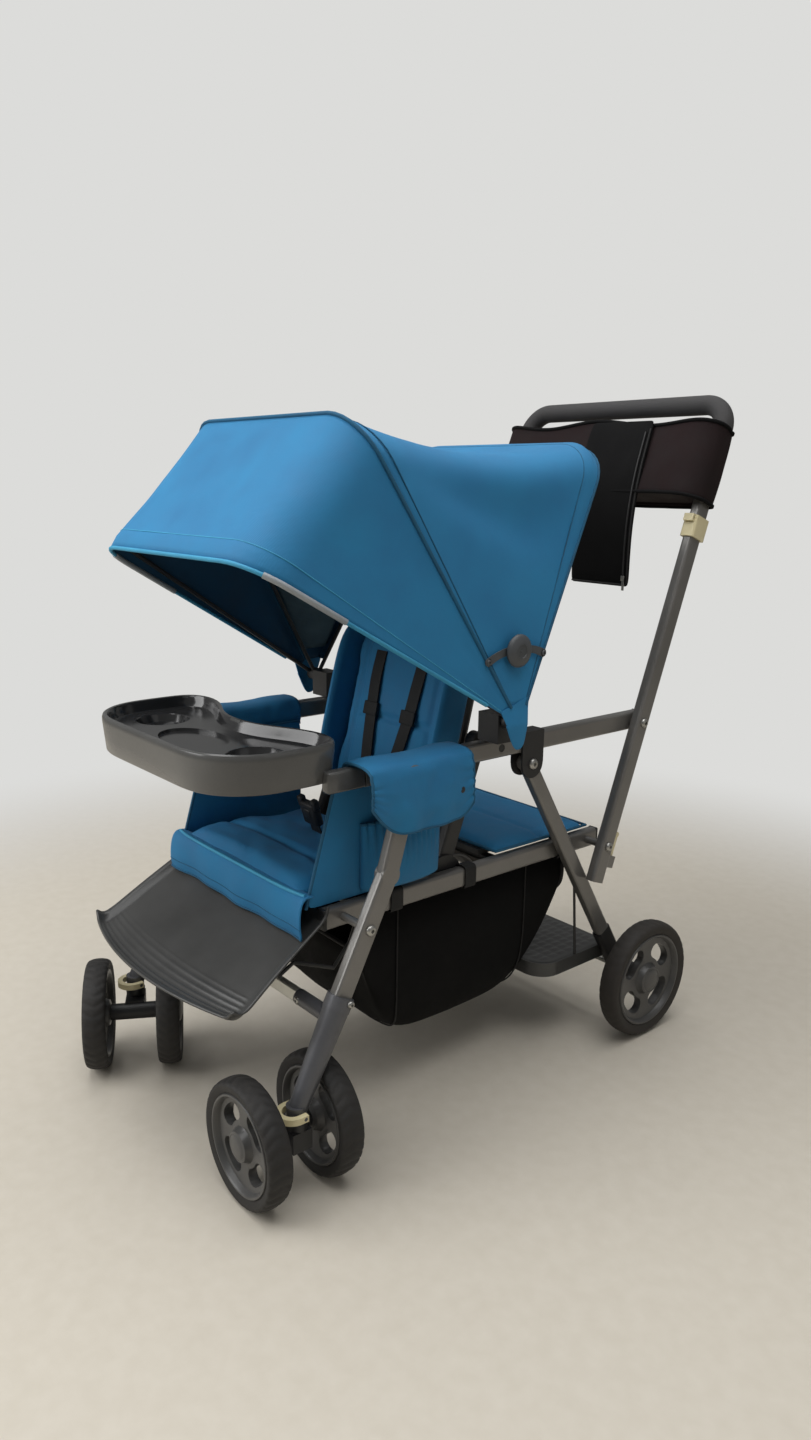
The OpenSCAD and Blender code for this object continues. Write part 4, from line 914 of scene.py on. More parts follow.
        def place(u: float, t: float) -> Vector:
            """Finds the panel's point, with its folds and ripples.

            Args:
                u: Share over the bows.
                t: Share through the stops.

            Returns:
                The point.
            """
            v = stops[round(t * (len(stops) - 1))]
            spot = self.drawn(u, v, span, self.lift)
            ease = sin(pi * clamp(v))
            side = hump(u)
            ripple = max(0.0, ruffle(spot, self.ripple_pitch))
            crumple = ruffle(spot, self.crumple_pitch)
            pleat = sin(self.pleat_turn * v + self.pleat_shift) * max(0.0, 1 - self.pleat_reach * side)
            crease = seam(u - self.crease_start + self.crease_drift * v, self.crease_width) * ease
            crease *= span.sag / self.rear_sag
            inward = self.ripple[0] * ripple * ease * side + self.pleat * max(0.0, pleat * side) * ease
            spot.x -= copysign(inward, spot.x)
            spot.z -= (self.ripple[1] * ripple + self.crumple * crumple) * ease * side
            spot.x -= copysign(self.crease[0] * crease, spot.x)
            spot.z -= self.crease[1] * crease
            return spot

        bm = sheet_grid(self.columns, len(stops) - 1, place, Vector((0, *self.pivot)))
        piece = new_piece(name, bm, CANOPY_CLOTH, LINING)
        thicken(piece, self.wall, 1.0, 1)
        return piece

    def trim(self, v: float, span: Span, radius: float, lift: float = 0.0,
             reach: Point2 = (0.0, 1.0)) -> BMesh:
        """Makes a round cord of trim across a panel.

        Args:
            v: Share between the bows.
            span: The two bows.
            radius: Radius of the trim.
            lift: Distance above the cloth's outside.
            reach: Shares over the bow where it starts and ends.

        Returns:
            The mesh.
        """
        steps = max(16, round(96 * (reach[1] - reach[0])))
        grow = self.lift + self.wall + lift
        return tube([self.drawn(reach[0] + (reach[1] - reach[0]) * share, v, span, grow)
                     for share in walk(steps)], radius)

    def tongue(self) -> BMesh:
        """Makes the left tongue of cloth that gathers the panels below their pivot.

        Returns:
            The mesh.
        """
        fore, aft = smoothed(self.tongue_fore), smoothed(self.tongue_aft)

        def place(u: float, v: float) -> Vector:
            """Finds the tongue's point, tucked under the cloth above the pivot.

            Args:
                u: Share from its front edge to its rear edge.
                v: Share down.

            Returns:
                The point.
            """
            y, z = between(along(fore, v), along(aft, v), u)
            puff = self.tongue_puff * hump(u) * hump(v)
            under = self.tuck * clamp((z - self.tuck_from) / self.tuck_run)
            x = self.tongue_face - self.tongue_slope * max(0.0, z) + puff - under
            return Vector((x, self.pivot[0] + y, self.pivot[1] + z))

        bm = sheet_grid(12, 24, place, Vector((0, *self.pivot)))
        bmesh.ops.remove_doubles(bm, verts=bm.verts, dist=SAME)
        line = [spot for spot in (*fore, *reversed(aft)) if spot[1] < self.tongue_edge_top]
        edge = tube([Vector((self.tongue_edge_face, self.pivot[0] + y, self.pivot[1] + z)) for y, z in line],
                    self.tongue_edge)
        return joined([walled(bm, -self.wall), edge])

    def fold_line(self, degrees: float, reach: float) -> tuple[Vector, Vector]:
        """Finds the ends of the line along which cloth passes from bow to bow."""
        way = Vector((0, -cos(radians(degrees)), -sin(radians(degrees)))) * reach
        return Vector((0, *self.pivot)) - way, Vector((0, *self.pivot)) + way

    def net(self, span: Span) -> Object:
        """Makes the net window on the right, inside the rear cloth.

        Args:
            span: The two bows that hold the rear cloth.

        Returns:
            The net.
        """
        bm = sheet_grid(24, 16, lambda u, v: self.drawn(
            self.net_across[0] + self.net_across[1] * u, self.net_along[0] + self.net_along[1] * v,
            span, self.net_inset), Vector((-1, 0, 2)))
        piece = new_piece("canopy_inner_net", bm, NET_CLOTH)
        thicken(piece, self.net_wall)
        return piece

    def build(self) -> None:
        """Builds the cloth and all its trim, then the stays."""
        rear = Span(self.mid, self.rear, self.rear_sag)
        visor = Span(self.front, self.mid, self.visor_sag)
        back = self.cloth("canopy_rear_cloth", rear, 0.0, 3.0)
        hood = self.cloth("canopy_visor_cloth", visor, -1.0, 1.0)
        # The rear hem's cord, and two rows of stitches
        rear_trim = new_piece(
            "canopy_rear_hem", joined([self.trim(v, rear, radius) for v,
            radius in ((2.0, self.hem_cord), (0.955, 0.0009), (0.055, 0.001))]), PIPING)
        piping = self.trim(0.0, rear, self.piping_cord, self.piping_lift)
        mid_trim = new_piece("canopy_mid_piping", piping, PIPING)
        # The front edge's binding, and the row of stitches behind it
        front_trim = new_piece("canopy_front_binding", joined([
            self.trim(-1.0, visor, self.binding_cord, self.binding_sink, self.binding_span),
            self.trim(0.05, visor, 0.0008)]), BINDING)
        strip = new_piece("canopy_reflective_strips", joined([
            self.trim(-1.0, visor, self.strip_cord, self.binding_sink, reach) for reach in self.strip_spans
        ]), REFLECTIVE)
        net = self.net(rear)
        for piece in (back, rear_trim, net):
            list(self.fold_line(2.25, 0.16))
            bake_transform(piece)
        for piece in (hood, front_trim, strip):
            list(self.fold_line(45, 0.07))
            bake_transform(piece)
        settle(mid_trim, "canopy_mid", "canopy_cloth")
        for piece, node in ((back, "canopy_rear_panel"), (hood, "canopy_visor")):
            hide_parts(node)
        tongues = new_piece("canopy_tongues", mirrored(self.tongue()), CANOPY_CLOTH)
        settle(tongues, "canopy_rear", "canopy_cloth")
        self.stays()

    def arm(self, x: float, start: Point2) -> BMesh:
        """Makes one curved flat stay arm on the left side, from its rivet to the knob.

        Args:
            x: Its inner face.
            start: Its riveted end.

        Returns:
            The mesh.
        """
        def place(u: float, v: float) -> Vector:
            """Finds the arm's point, slimmer at half length.

            Args:
                u: Share along the arm.
                v: Share across it.

            Returns:
                The point.
            """
            y, z = between(start, self.stay_knee, u)
            arch = hump(u)
            wide = self.stay_width * (1 - self.stay_waist * arch)
            return Vector((x, y, z + self.stay_rise * arch + (v - 0.5) * wide))

        bar = walled(sheet_grid(16, 4, place, UP * self.pivot[1]), -self.stay_wall)
        eye = lathe([(self.stay_eye, 0), (self.stay_eye, 0.0016), (0.0052, self.stay_wall),
                     (0, self.stay_wall)], Vector((x, *start)), ACROSS, 20)
        return joined([bar, eye, bolt(Vector((x + self.stay_wall, *start)), ACROSS, *self.rivet)])

    def stays(self) -> None:
        """Builds the curved stay arms with their rivets and domed knobs."""
        front = self.arm(self.stay_near, self.stay_front_end)
        settle(new_piece("stay_front_dressed", mirrored(front), STAY_PLASTIC),
               "stay_front", "stay_plastic", "stay_arms_front")
        knob = lathe(self.knob, Vector((self.stay_far + self.stay_wall, *self.stay_knee)), ACROSS, 48)
        rear = joined([self.arm(self.stay_far, self.stay_rear_end), knob])
        settle(new_piece("stay_rear_dressed", mirrored(rear), STAY_PLASTIC),
               "stay_rear", "stay_plastic", "stay_arms_rear")


@dataclass
class FrontSeat:
    """Front seat: cushion, calf flap, padded sides with pockets, and armrest covers."""

    # Cushion
    top: float = 0.3684
    front: float = -0.3445
    rear: float = -0.112
    wide: float = 0.1655
    narrow: float = 0.14
    waist: float = -0.198
    ramp: float = 0.034
    inset: float = 0.004
    crown: float = 0.033
    edge_share: float = 0.62
    corner: float = 0.05
    corner_from: float = 0.7
    voxel: float = 0.005
    swell: float = 0.005
    # Sewn channel
    channel_floor: float = 0.012
    channel_y: float = -0.262
    channel_bow: float = 0.02
    channel_half: float = 0.19
    channel_width: float = 0.006
    channel_depth: float = 0.006
    ruffle_depth: float = 0.002
    # Front piping
    piping_half: float = 0.172
    piping_rise: float = 0.0225
    piping_turn: float = 0.006
    cord: float = 0.0026
    # Calf flap, with its path from the cushion's front and the board
    flap_half: float = 0.178
    flap_wall: float = 0.0022
    flap_flare: float = 0.012
    flap_path: Outline = (
        (0.016, 0.0205), (0.001, 0.0225), (-0.0065, 0.01), (-0.0085, -0.016), (-0.005, -0.035))
    # Side panels
    side_x: float = 0.17
    side_low: float = 0.3705
    side_high: float = 0.538
    side_front: float = -0.287
    side_slant: float = 0.049
    side_half: float = 0.0024
    side_puff: float = 0.005
    side_pucker: float = 0.0024
    # Side pockets
    pocket_corner: Point3 = (0.1772, -0.25, 0.379)
    pocket_length: float = 0.142
    pocket_height: float = 0.096
    pocket_full: float = 0.027
    pocket_gather: float = 0.0024
    pocket_arch: float = 0.004
    pocket_wall: float = 0.002
    pocket_elastic: float = 0.0022
    # Armrest covers
    cover_section: Outline = (
        (0.1785, 0.53), (0.1785, 0.557), (0.184, 0.5685), (0.198, 0.5735), (0.236, 0.5715), (0.2462, 0.56),
        (0.2466, 0.53), (0.2462, 0.477))
    cover_front: float = -0.285
    cover_length: float = 0.18
    cover_wall: float = 0.0022
    cover_hang: float = 0.62
    cover_puff: float = 0.0035
    cover_ripple: float = 0.0016
    cover_cord: float = 0.0021
    snap_at: Point3 = (0.2482, -0.128, 0.52)

    def half_width(self, y: float) -> float:
        """Gives the half width of the cushion at a distance along the seat."""
        return self.narrow + (self.wide - self.narrow) * clamp((self.waist - y) / self.ramp)

    def cushion(self) -> None:
        """Builds the seat cushion with its sewn channel and front piping."""
        def place(c: Vector) -> Vector:
            """Finds the cushion's point.

            Args:
                c: Point of the cube.

            Returns:
                The point.
            """
            y = self.front + self.inset + (self.rear - self.front - 2 * self.inset) * (c.y + 1) / 2
            half = (self.half_width(y) - self.inset) * (1 - self.corner * rounding(-c.y, self.corner_from))
            height = self.edge_share + (1 - self.edge_share) * bulge(c.x, c.y, (8, 8))
            return Vector((c.x * half, y, self.top + self.crown * height * (c.z + 1) / 2))

        def depth(p: Vector) -> float:
            """Finds how deep the sewn channel is at a point.

            Args:
                p: The point.

            Returns:
                The depth.
            """
            if p.z < self.top + self.channel_floor:
                return 0.0
            bow = self.channel_bow * (p.x / self.channel_half) ** 2
            line = seam(p.y - self.channel_y + bow, self.channel_width)
            return self.channel_depth * line + self.ruffle_depth * ruffle(p, (24, 46, 1))

        piece = new_piece("seat_cushion_padded", block_grid(16, place), SEAT_CLOTH)
        inflate(piece, self.voxel, self.swell, SEAT_CLOTH)
        press(piece, depth)
        settle(piece, "seat_frame", "seat_cloth", "seat_cushion")
        line = [Vector((self.piping_half * share, self.front - MM + self.piping_turn * abs(share) ** 6,
                        self.top + self.piping_rise)) for share in (2 * k - 1 for k in walk(48))]
        settle(new_piece("seat_front_piping", tube(line, self.cord), BINDING), "seat_frame", "seat_cloth")

    def flap(self) -> None:
        """Builds the gathered calf flap with its hem."""
        path = smoothed([(self.front + y, self.top + z) for y, z in self.flap_path])

        def place(u: float, v: float) -> Vector:
            """Finds the flap's point, gathered towards the hem.

            Args:
                u: Share across.
                v: Share down.

            Returns:
                The point.
            """
            x = self.flap_half * (2 * u - 1)
            y, z = along(path, v)
            wave = 0.0016 * sin(x * 70) + 0.0018 * sin(x * 33 + 1.2)
            return Vector((x * (1 + self.flap_flare * v), y - wave * v, z))

        bm = sheet_grid(96, 20, place, Vector((0, 0, 0.36)))
        piece = new_piece("calf_flap_cloth", bm, SEAT_CLOTH)
        thicken(piece, self.flap_wall, 0.0)
        settle(piece, "seat_frame", "seat_cloth", "calf_flap")
        ahead = Vector((0, -0.0012, 0))
        # The hem's cord, and its row of stitches
        rows = [tube([place(u, v) + ahead for u in walk(80)], radius)
                for v, radius in ((1.0, 0.0016), (0.8, 0.0007))]
        hem = new_piece("calf_flap_hem", joined(rows), PIPING)
        settle(hem, "seat_frame", "seat_cloth")

    def side_spot(self, s: float, v: float) -> Point2:
        """Finds a point of the side panel, whose front edge slants forward towards its foot."""
        length = self.rear - self.side_front + self.side_slant * (1 - s)
        return self.rear - length * (1 - v), self.side_low + (self.side_high - self.side_low) * s

    def side_panels(self) -> list[Object]:
        """Builds the padded side panels with their bound edges.

        Returns:
            The soft pieces.
        """
        def place(c: Vector) -> Vector:
            """Finds the left panel's point.

            Args:
                c: Point of the cube.

            Returns:
                The point.
            """
            s, v = (c.z + 1) / 2, (c.y + 1) / 2
            y, z = self.side_spot(s, v)
            soft = sqrt(max(0.0, hump(s) * hump(v)))
            pucker = self.side_pucker * ruffle((3.0, y, z), (1, 30, 30))
            x = self.side_x + c.x * (self.side_half + self.side_puff * soft) + pucker * soft
            return Vector((x, y, z))

        piece = new_piece("seat_side_panels", mirrored(softened(block_grid(14, place))), SEAT_CLOTH)
        finer(piece)
        settle(piece, "seat_frame", "seat_cloth", "seat_sides")
        rise = [self.side_spot(share, 0.0) for share in walk(24)]
        line = [Vector((self.side_x, y - MM, z)) for y, z in rise]
        line += [Vector((self.side_x, self.side_spot(1.0, share)[0], self.side_high + 0.0005))
                 for share in walk(16)[1:]]
        binding = new_piece("seat_side_binding", mirrored(tube(line, self.cord)), PIPING)
        settle(binding, "seat_frame", "seat_cloth")
        return [piece, binding]

    def pockets(self) -> list[Object]:
        """Builds the gathered side pockets with their elastics.

        Returns:
            The soft pieces.
        """
        x0, y0, z0 = self.pocket_corner

        def place(u: float, v: float) -> Vector:
            """Finds the left pocket's point.

            Args:
                u: Share back.
                v: Share up.

            Returns:
                The point.
            """
            arch = hump(u)
            gather = self.pocket_gather * sin(u * 84) * v ** 2
            belly = 0.55 + 0.45 * sin(pi * min(1.0, v * 0.85 + 0.1))
            out = self.pocket_full * arch ** 0.5 * belly
            z = z0 + self.pocket_height * v + self.pocket_arch * arch * v
            return Vector((x0 + out + gather, y0 + self.pocket_length * u, z))

        softs = []
        cloth = sheet_grid(96, 20, place, Vector((0, -0.19, 0.43)))
        edge = tube([place(u, 1.0) for u in walk(96)], self.pocket_elastic)
        elastics = pair("side_pocket_elastic", edge, PIPING)
        for bag, elastic in zip(pair("side_pocket", cloth, SEAT_CLOTH), elastics):
            thicken(bag, self.pocket_wall, 0.0)
            settle(bag, "seat_frame", "seat_cloth")
            settle(elastic, "seat_frame", "seat_cloth")
            softs += [bag, elastic]
        return softs

    def covers(self) -> None:
        """Builds the cloth covers over the arm rails, with their bound lower edges and snaps."""
        section = smoothed(self.cover_section)

        def place(u: float, v: float) -> Vector:
            """Finds the left cover's point, gathered at its ends.

            Args:
                u: Share across, from the inner edge.
                v: Share back.

            Returns:
                The point.
            """
            x, z = along(section, u)
            y = self.cover_front + self.cover_length * v
            hang = max(0.0, (u - self.cover_hang) / (1 - self.cover_hang))
            corner = hang * (0.042 * max(0.0, 1 - v / 0.32) ** 2 + 0.02 * rounding(v, 0.85))
            ends = abs(2 * v - 1)
            gather = 0.0011 * sin(u * 75) * ends ** 5
            wave = self.cover_ripple * (hang * sin(v * 19 + 1.0) + ruffle((u, y, 0.5), (9, 60, 1)))
            puff = self.cover_puff * hump(hang) * (1 - ends ** 4)
            return Vector((x + gather + wave + puff, y, z + corner + 0.0012 * sin(v * 9)))

        bm = sheet_grid(48, 40, place, Vector((0.2, -0.19, 0.53)))
        border = [place(u, 0.0) for u in walk(30)]
        border += [place(1.0, v) for v in walk(40)[1:]]
        border += [place(1 - u, 1.0) for u in walk(30)[1:]]
        out = ACROSS * (self.cover_wall / 2)
        trims = pair("armrest_cover_binding", tube([spot + out for spot in border], self.cover_cord), PIPING)
        stud = lathe(
            [(0.0056, 0), (0.0056, 0.0016), (0.004, 0.0028), (0, 0.003)], Vector(self.snap_at), ACROSS, 20)
        snaps = pair("armrest_snap", stud, BLACK_PLASTIC)
        for cover, trim, snap in zip(pair("armrest_cover", bm, SEAT_CLOTH), trims, snaps):
            thicken(cover, self.cover_wall)
            settle(cover, "arm_rails", "seat_cloth", "armrest_covers")
            settle(trim, "arm_rails", "seat_cloth")
            settle(snap, "arm_rails", "black_plastic")

    def build(self) -> None:
        """Builds the cushion, the flap, the sides and the covers."""
        self.cushion()
        self.flap()
        softs = self.side_panels()
        softs += self.pockets()
        for soft in softs:
            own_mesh(soft)
        self.covers()


@dataclass
class Backrest:
    """Backrest pad with its wings, the harness and the buckle."""

    # Recline axis and lean
    axis: Point2 = (-0.057, 0.385)
    lean: float = radians(14)
    # Pad
    foot: float = 0.034
    height: float = 0.29
    half: float = 0.131
    face: float = -0.0088
    thin: float = 0.01
    crown: float = 0.016
    corner: float = 0.1
    corner_from: float = 0.6
    voxel: float = 0.005
    swell: float = 0.005
    # Seams
    seam_face: float = -0.016
    seam_x: float = 0.092
    seam_z: float = 0.175
    seam_end: float = 0.095
    seam_depth: float = 0.005
    ruffle_depth: float = 0.001
    # Wings
    wing_foot: float = 0.05
    wing_height: float = 0.274
    wing_x: float = 0.1335
    wing_half: float = 0.0024
    wing_puff: float = 0.0048
    wing_face: float = -0.006
    wing_root: float = 0.008
    wing_reach: float = 0.03
    wing_belly: float = 0.024
    # Shoulder straps, with their route as half gauge, height and distance forward
    route: tuple[Point3, ...] = (
        (0.052, 0.28, 0.0385), (0.051, 0.235, 0.0425), (0.047, 0.19, 0.042), (0.04, 0.14, 0.0435),
        (0.031, 0.09, 0.044), (0.024, 0.054, 0.044))
    strap_width: float = 0.025
    strap_wall: float = 0.0018
    strap_lift: float = 0.0005
    hardware_face: float = -0.0455
    slider_share: float = 0.42
    # Buckle
    buckle_at: Point3 = (0, -0.185, 0.368)
    buckle_lean: float = radians(18)
    turn: Matrix = field(init=False)

    def __post_init__(self) -> None:
        """Works out the turn from the backrest's own line to the row frame."""
        self.turn = Matrix.Translation(Vector((0, *self.axis))) @ Matrix.Rotation(-self.lean, 4, "X")

    def pad(self) -> None:
        """Builds the pad with its sewn lines."""
        back = self.turn.inverted()

        def place(c: Vector) -> Vector:
            """Finds the pad's point.

            Args:
                c: Point of the cube.

            Returns:
                The point.
            """
            half = self.half * (1 - self.corner * rounding(c.z, self.corner_from))
            thick = self.thin + self.crown * bulge(c.x, c.z, (6, 8))
            y = self.face - thick * (1 - c.y) / 2
            return self.turn @ Vector((c.x * half, y, self.foot + self.height * (c.z + 1) / 2))

        def depth(p: Vector) -> float:
            """Finds how deep the sewn lines are at a point.

            Args:
                p: The point.

            Returns:
                The depth.
            """
            q = back @ p
            if q.y > self.seam_face:
                return 0.0
            lines = seam(abs(q.x) - self.seam_x, 0.005)
            if abs(q.x) < self.seam_end:
                lines += seam(q.z - self.seam_z, 0.006)
            return self.seam_depth * min(1.0, lines) + self.ruffle_depth * ruffle(q, (40, 40, 40))

        piece = new_piece("backrest_padded", block_grid(16, place), SEAT_CLOTH)
        inflate(piece, self.voxel, self.swell, SEAT_CLOTH)
        press(piece, depth)
        settle(piece, "backrest", "seat_cloth", "backrest_cushion")

    def wings(self) -> None:
        """Builds the padded wings at both sides of the backrest."""
        def place(c: Vector) -> Vector:
            """Finds the left wing's point, deepest at half height.

            Args:
                c: Point of the cube.

            Returns:
                The point.
            """
            belly = self.wing_belly * sqrt(max(0.0, 1 - abs(c.z) ** 4))
            reach = self.wing_root + (self.wing_reach + belly) * (1 - c.y) / 2
            wall = self.wing_half + self.wing_puff * bulge(c.y, c.z, (6, 8))
            h = self.wing_foot + self.wing_height * (c.z + 1) / 2
            return self.turn @ Vector((self.wing_x + c.x * wall, self.wing_face - reach, h))

        piece = new_piece("backrest_wings", mirrored(softened(block_grid(12, place))), SEAT_CLOTH)
        finer(piece)
        settle(piece, "backrest", "seat_cloth")

    def harness(self) -> None:
        """Builds the two shoulder straps with their sliders and tongues."""
        gauge = smoothed([(x, h) for x, h, _ in self.route])
        ahead = smoothed([(forward, h) for _, h, forward in self.route])
        parts = []
        for side in (1, -1):
            def strap(u: float, v: float, side: int = side) -> Vector:
                """Finds the strap's point.

                Args:
                    u: Share down.
                    v: Share across.
                    side: 1 on the left, -1 on the right.

                Returns:
                    The point.
                """
                x, h = along(gauge, u)
                forward = along(ahead, u)[0]
                across = side * (x + (v - 0.5) * self.strap_width)
                return self.turn @ Vector((across, -forward - self.strap_lift, h))

            band = sheet_grid(36, 2, strap, self.turn @ Vector((0, 0.2, 0.15)))
            x, h = along(gauge, self.slider_share)
            slider = box((0.033, 0.005, 0.022), (side * x, self.hardware_face, h), 0.0015)
            end = box((0.024, 0.006, 0.034), (side * 0.023, self.hardware_face, 0.046), 0.002)
            parts += [walled(band, -self.strap_wall), moved(slider, self.turn), moved(end, self.turn)]
        settle(new_piece("harness_straps", joined(parts), BLACK_TAPE), "backrest", "webbing", "harness")

    def buckle(self) -> None:
        """Builds the crotch strap and the harness buckle."""
        turn = Matrix.Translation(Vector(self.buckle_at)) @ Matrix.Rotation(self.buckle_lean, 4, "X")
        # Body, button, the two ends that click in, and the strap
        parts = [
            box((0.038, 0.014, 0.04), (0, 0, 0.074), 0.005),
            box((0.018, 0.017, 0.016), (0, 0, 0.076), 0.003),
            box((0.012, 0.011, 0.018), (0.017, 0, 0.092), 0.003),
            box((0.012, 0.011, 0.018), (-0.017, 0, 0.092), 0.003),
            box((self.strap_width, 0.0022, 0.03), (0, 0, 0.046), 0.0008)]
        piece = new_piece("harness_buckle", moved(joined(parts), turn), BLACK_PLASTIC)
        settle(piece, "seat_frame", "black_plastic", "buckle")

    def build(self) -> None:
        """Builds the pad, the wings, the harness and the buckle."""
        self.pad()
        self.wings()
        self.harness()
        self.buckle()


@dataclass
class RearBench:
    """Rear bench pad with a piped edge."""

    top: float = 0.3684
    front: float = 0.015
    depth: float = 0.222
    half: float = 0.179
    # Pad
    inset: float = 0.003
    crown: float = 0.0115
    edge_share: float = 0.45
    corner: float = 0.02
    voxel: float = 0.005
    swell: float = 0.003
    # Sewn line across the middle, and ruffles
    seam_floor: float = 0.006
    seam_depth: float = 0.003
    seam_width: float = 0.005
    ruffle_depth: float = 0.0009
    # Piping
    cord: float = 0.0024
    cord_inset: float = 0.004
    cord_rise: float = 0.006

    def build(self) -> None:
        """Builds the pad and its piping."""
        def place(c: Vector) -> Vector:
            """Finds the pad's point.

            Args:
                c: Point of the cube.

            Returns:
                The point.
            """
            half = (self.half - self.inset) * (1 - self.corner * abs(c.y) ** 6)
            y = self.front + self.inset + (self.depth - 2 * self.inset) * (c.y + 1) / 2
            height = self.edge_share + (1 - self.edge_share) * bulge(c.x, c.y, (10, 10))
            return Vector((c.x * half, y, self.top + self.crown * height * (c.z + 1) / 2))

        def depth(p: Vector) -> float:
            """Finds how deep the sewn line is at a point.

            Args:
                p: The point.

            Returns:
                The depth.
            """
            if p.z < self.top + self.seam_floor:
                return 0.0
            line = seam(p.y - self.front - self.depth / 2, self.seam_width)
            return self.seam_depth * line + self.ruffle_depth * ruffle(p, (38, 38, 38))

        piece = new_piece("bench_pad_padded", block_grid(14, place), SEAT_CLOTH)
        inflate(piece, self.voxel, self.swell, SEAT_CLOTH)
        press(piece, depth)
        settle(piece, "seat_frame", "seat_cloth", "bench_pad")
        half = self.half - self.cord_inset
        near, far = self.front + self.cord_inset, self.front + self.depth - self.cord_inset
        plan = ((-half, near), (half, near), (half, far), (-half, far))
        ring = [Vector((x, y, self.top + self.cord_rise)) for x, y in plan]
        line = [a.lerp(b, share) for a, b in zip(ring, ring[1:] + ring[:1]) for share in walk(12)[:-1]]
        settle(new_piece("bench_piping", tube(line, self.cord, True), PIPING), "seat_frame", "seat_cloth")


@dataclass
class Basket:
    """Sagging cloth basket under the seat, hung from the rails by webbing loops."""

    # Main sizes, and the distance inside the solid
    low: float = 0.084
    rim: float = 0.33
    half: float = 0.156
    rail: float = 0.166
    middle: float = -0.028
    length: float = 0.44
    inset: float = 0.0015
    # Form, as shares and powers
    end_rise: float = 0.68
    end_power: float = 5
    side_power: float = 0.4
    wall_power: float = 0.3
    end_bow: float = 0.18
    sag: float = 0.004
    wall: float = 0.0022
    # Binding along the edges, and the sewn lines across
    cord: float = 0.0036
    stitch: float = 0.0014
    stitch_places: Point2 = (-0.62, 0.62)
    # Webbing loops
    loop_places: Point3 = (-0.19, -0.045, 0.165)
    loop_section: Outline = (
        (0.1752, 0.3352), (0.1645, 0.3352), (0.1645, 0.352), (0.1645, 0.3688), (0.175, 0.3688),
        (0.1855, 0.3688), (0.1855, 0.352), (0.1855, 0.3352), (0.1752, 0.3352))
    loop_middle: Point2 = (0.175, 0.352)
    loop_width: float = 0.022
    loop_wall: float = 0.0014

    def point(self, u: float, v: float, inset: float) -> Vector:
        """Finds a point of the basket.

        Args:
            u: Across, from -1 to 1.
            v: Along, from -1 at the rear end to 1 at the front end.
            inset: Distance inside the CAD cloth.

        Returns:
            The point.
        """
        a = u * pi / 2
        end = abs(v) ** self.end_power
        half = self.half + (self.rail - self.half) * end - inset
        low = self.low + (self.rim - self.low) * end * self.end_rise + inset
        x = half * copysign(abs(sin(a)) ** self.side_power, a)
        y = self.middle - v * (self.length / 2 - inset) * (1 - self.end_bow * cos(a) ** 2)
        z = self.rim - (self.rim - low) * abs(cos(a)) ** self.wall_power
        return Vector((x, y, z + self.sag * ruffle((x, y, z), (14, 12, 14)) * cos(a)))

    def loops(self) -> BMesh:
        """Makes the webbing loops round the left rail.

        Returns:
            The mesh.
        """
        section = smoothed(self.loop_section)
        bands = []
        for y in self.loop_places:
            def place(u: float, v: float, y: float = y) -> Vector:
                """Finds a loop's point."""
                x, z = along(section, u)
                return Vector((x, y + self.loop_width * (v - 0.5), z))

            middle = Vector((self.loop_middle[0], y, self.loop_middle[1]))
            bands.append(walled(sheet_grid(40, 2, place, middle, True), -self.loop_wall))
        return joined(bands)

    def build(self) -> None:
        """Builds the shell, its bindings and its loops."""
        bm = sheet_grid(
            64, 48, lambda u, v: self.point(2 * u - 1, 2 * v - 1, self.inset), Vector((0, self.middle, 0.3)))
        shell = new_piece("basket_cloth", bm, BLACK_CLOTH)
        thicken(shell, self.wall, -1.0)
        settle(shell, "seat_frame", "basket_cloth", "basket")
        shares = [2 * share - 1 for share in walk(60)]
        trims = [tube([self.point(side, v, self.inset) for v in shares], self.cord) for side in (-1, 1)]
        trims += [tube([self.point(u, end, self.inset) for u in shares], self.cord) for end in (-1, 1)]
        trims += [tube([self.point(u, v, 0.0) for u in shares], self.stitch) for v in self.stitch_places]
        binding = new_piece("basket_binding", joined(trims), BLACK_TAPE)
        settle(binding, "seat_frame", "webbing")
        for soft in (shell, binding):
            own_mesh(soft)
        settle(new_piece("basket_loops", mirrored(self.loops()), BLACK_TAPE), "seat_frame", "webbing")


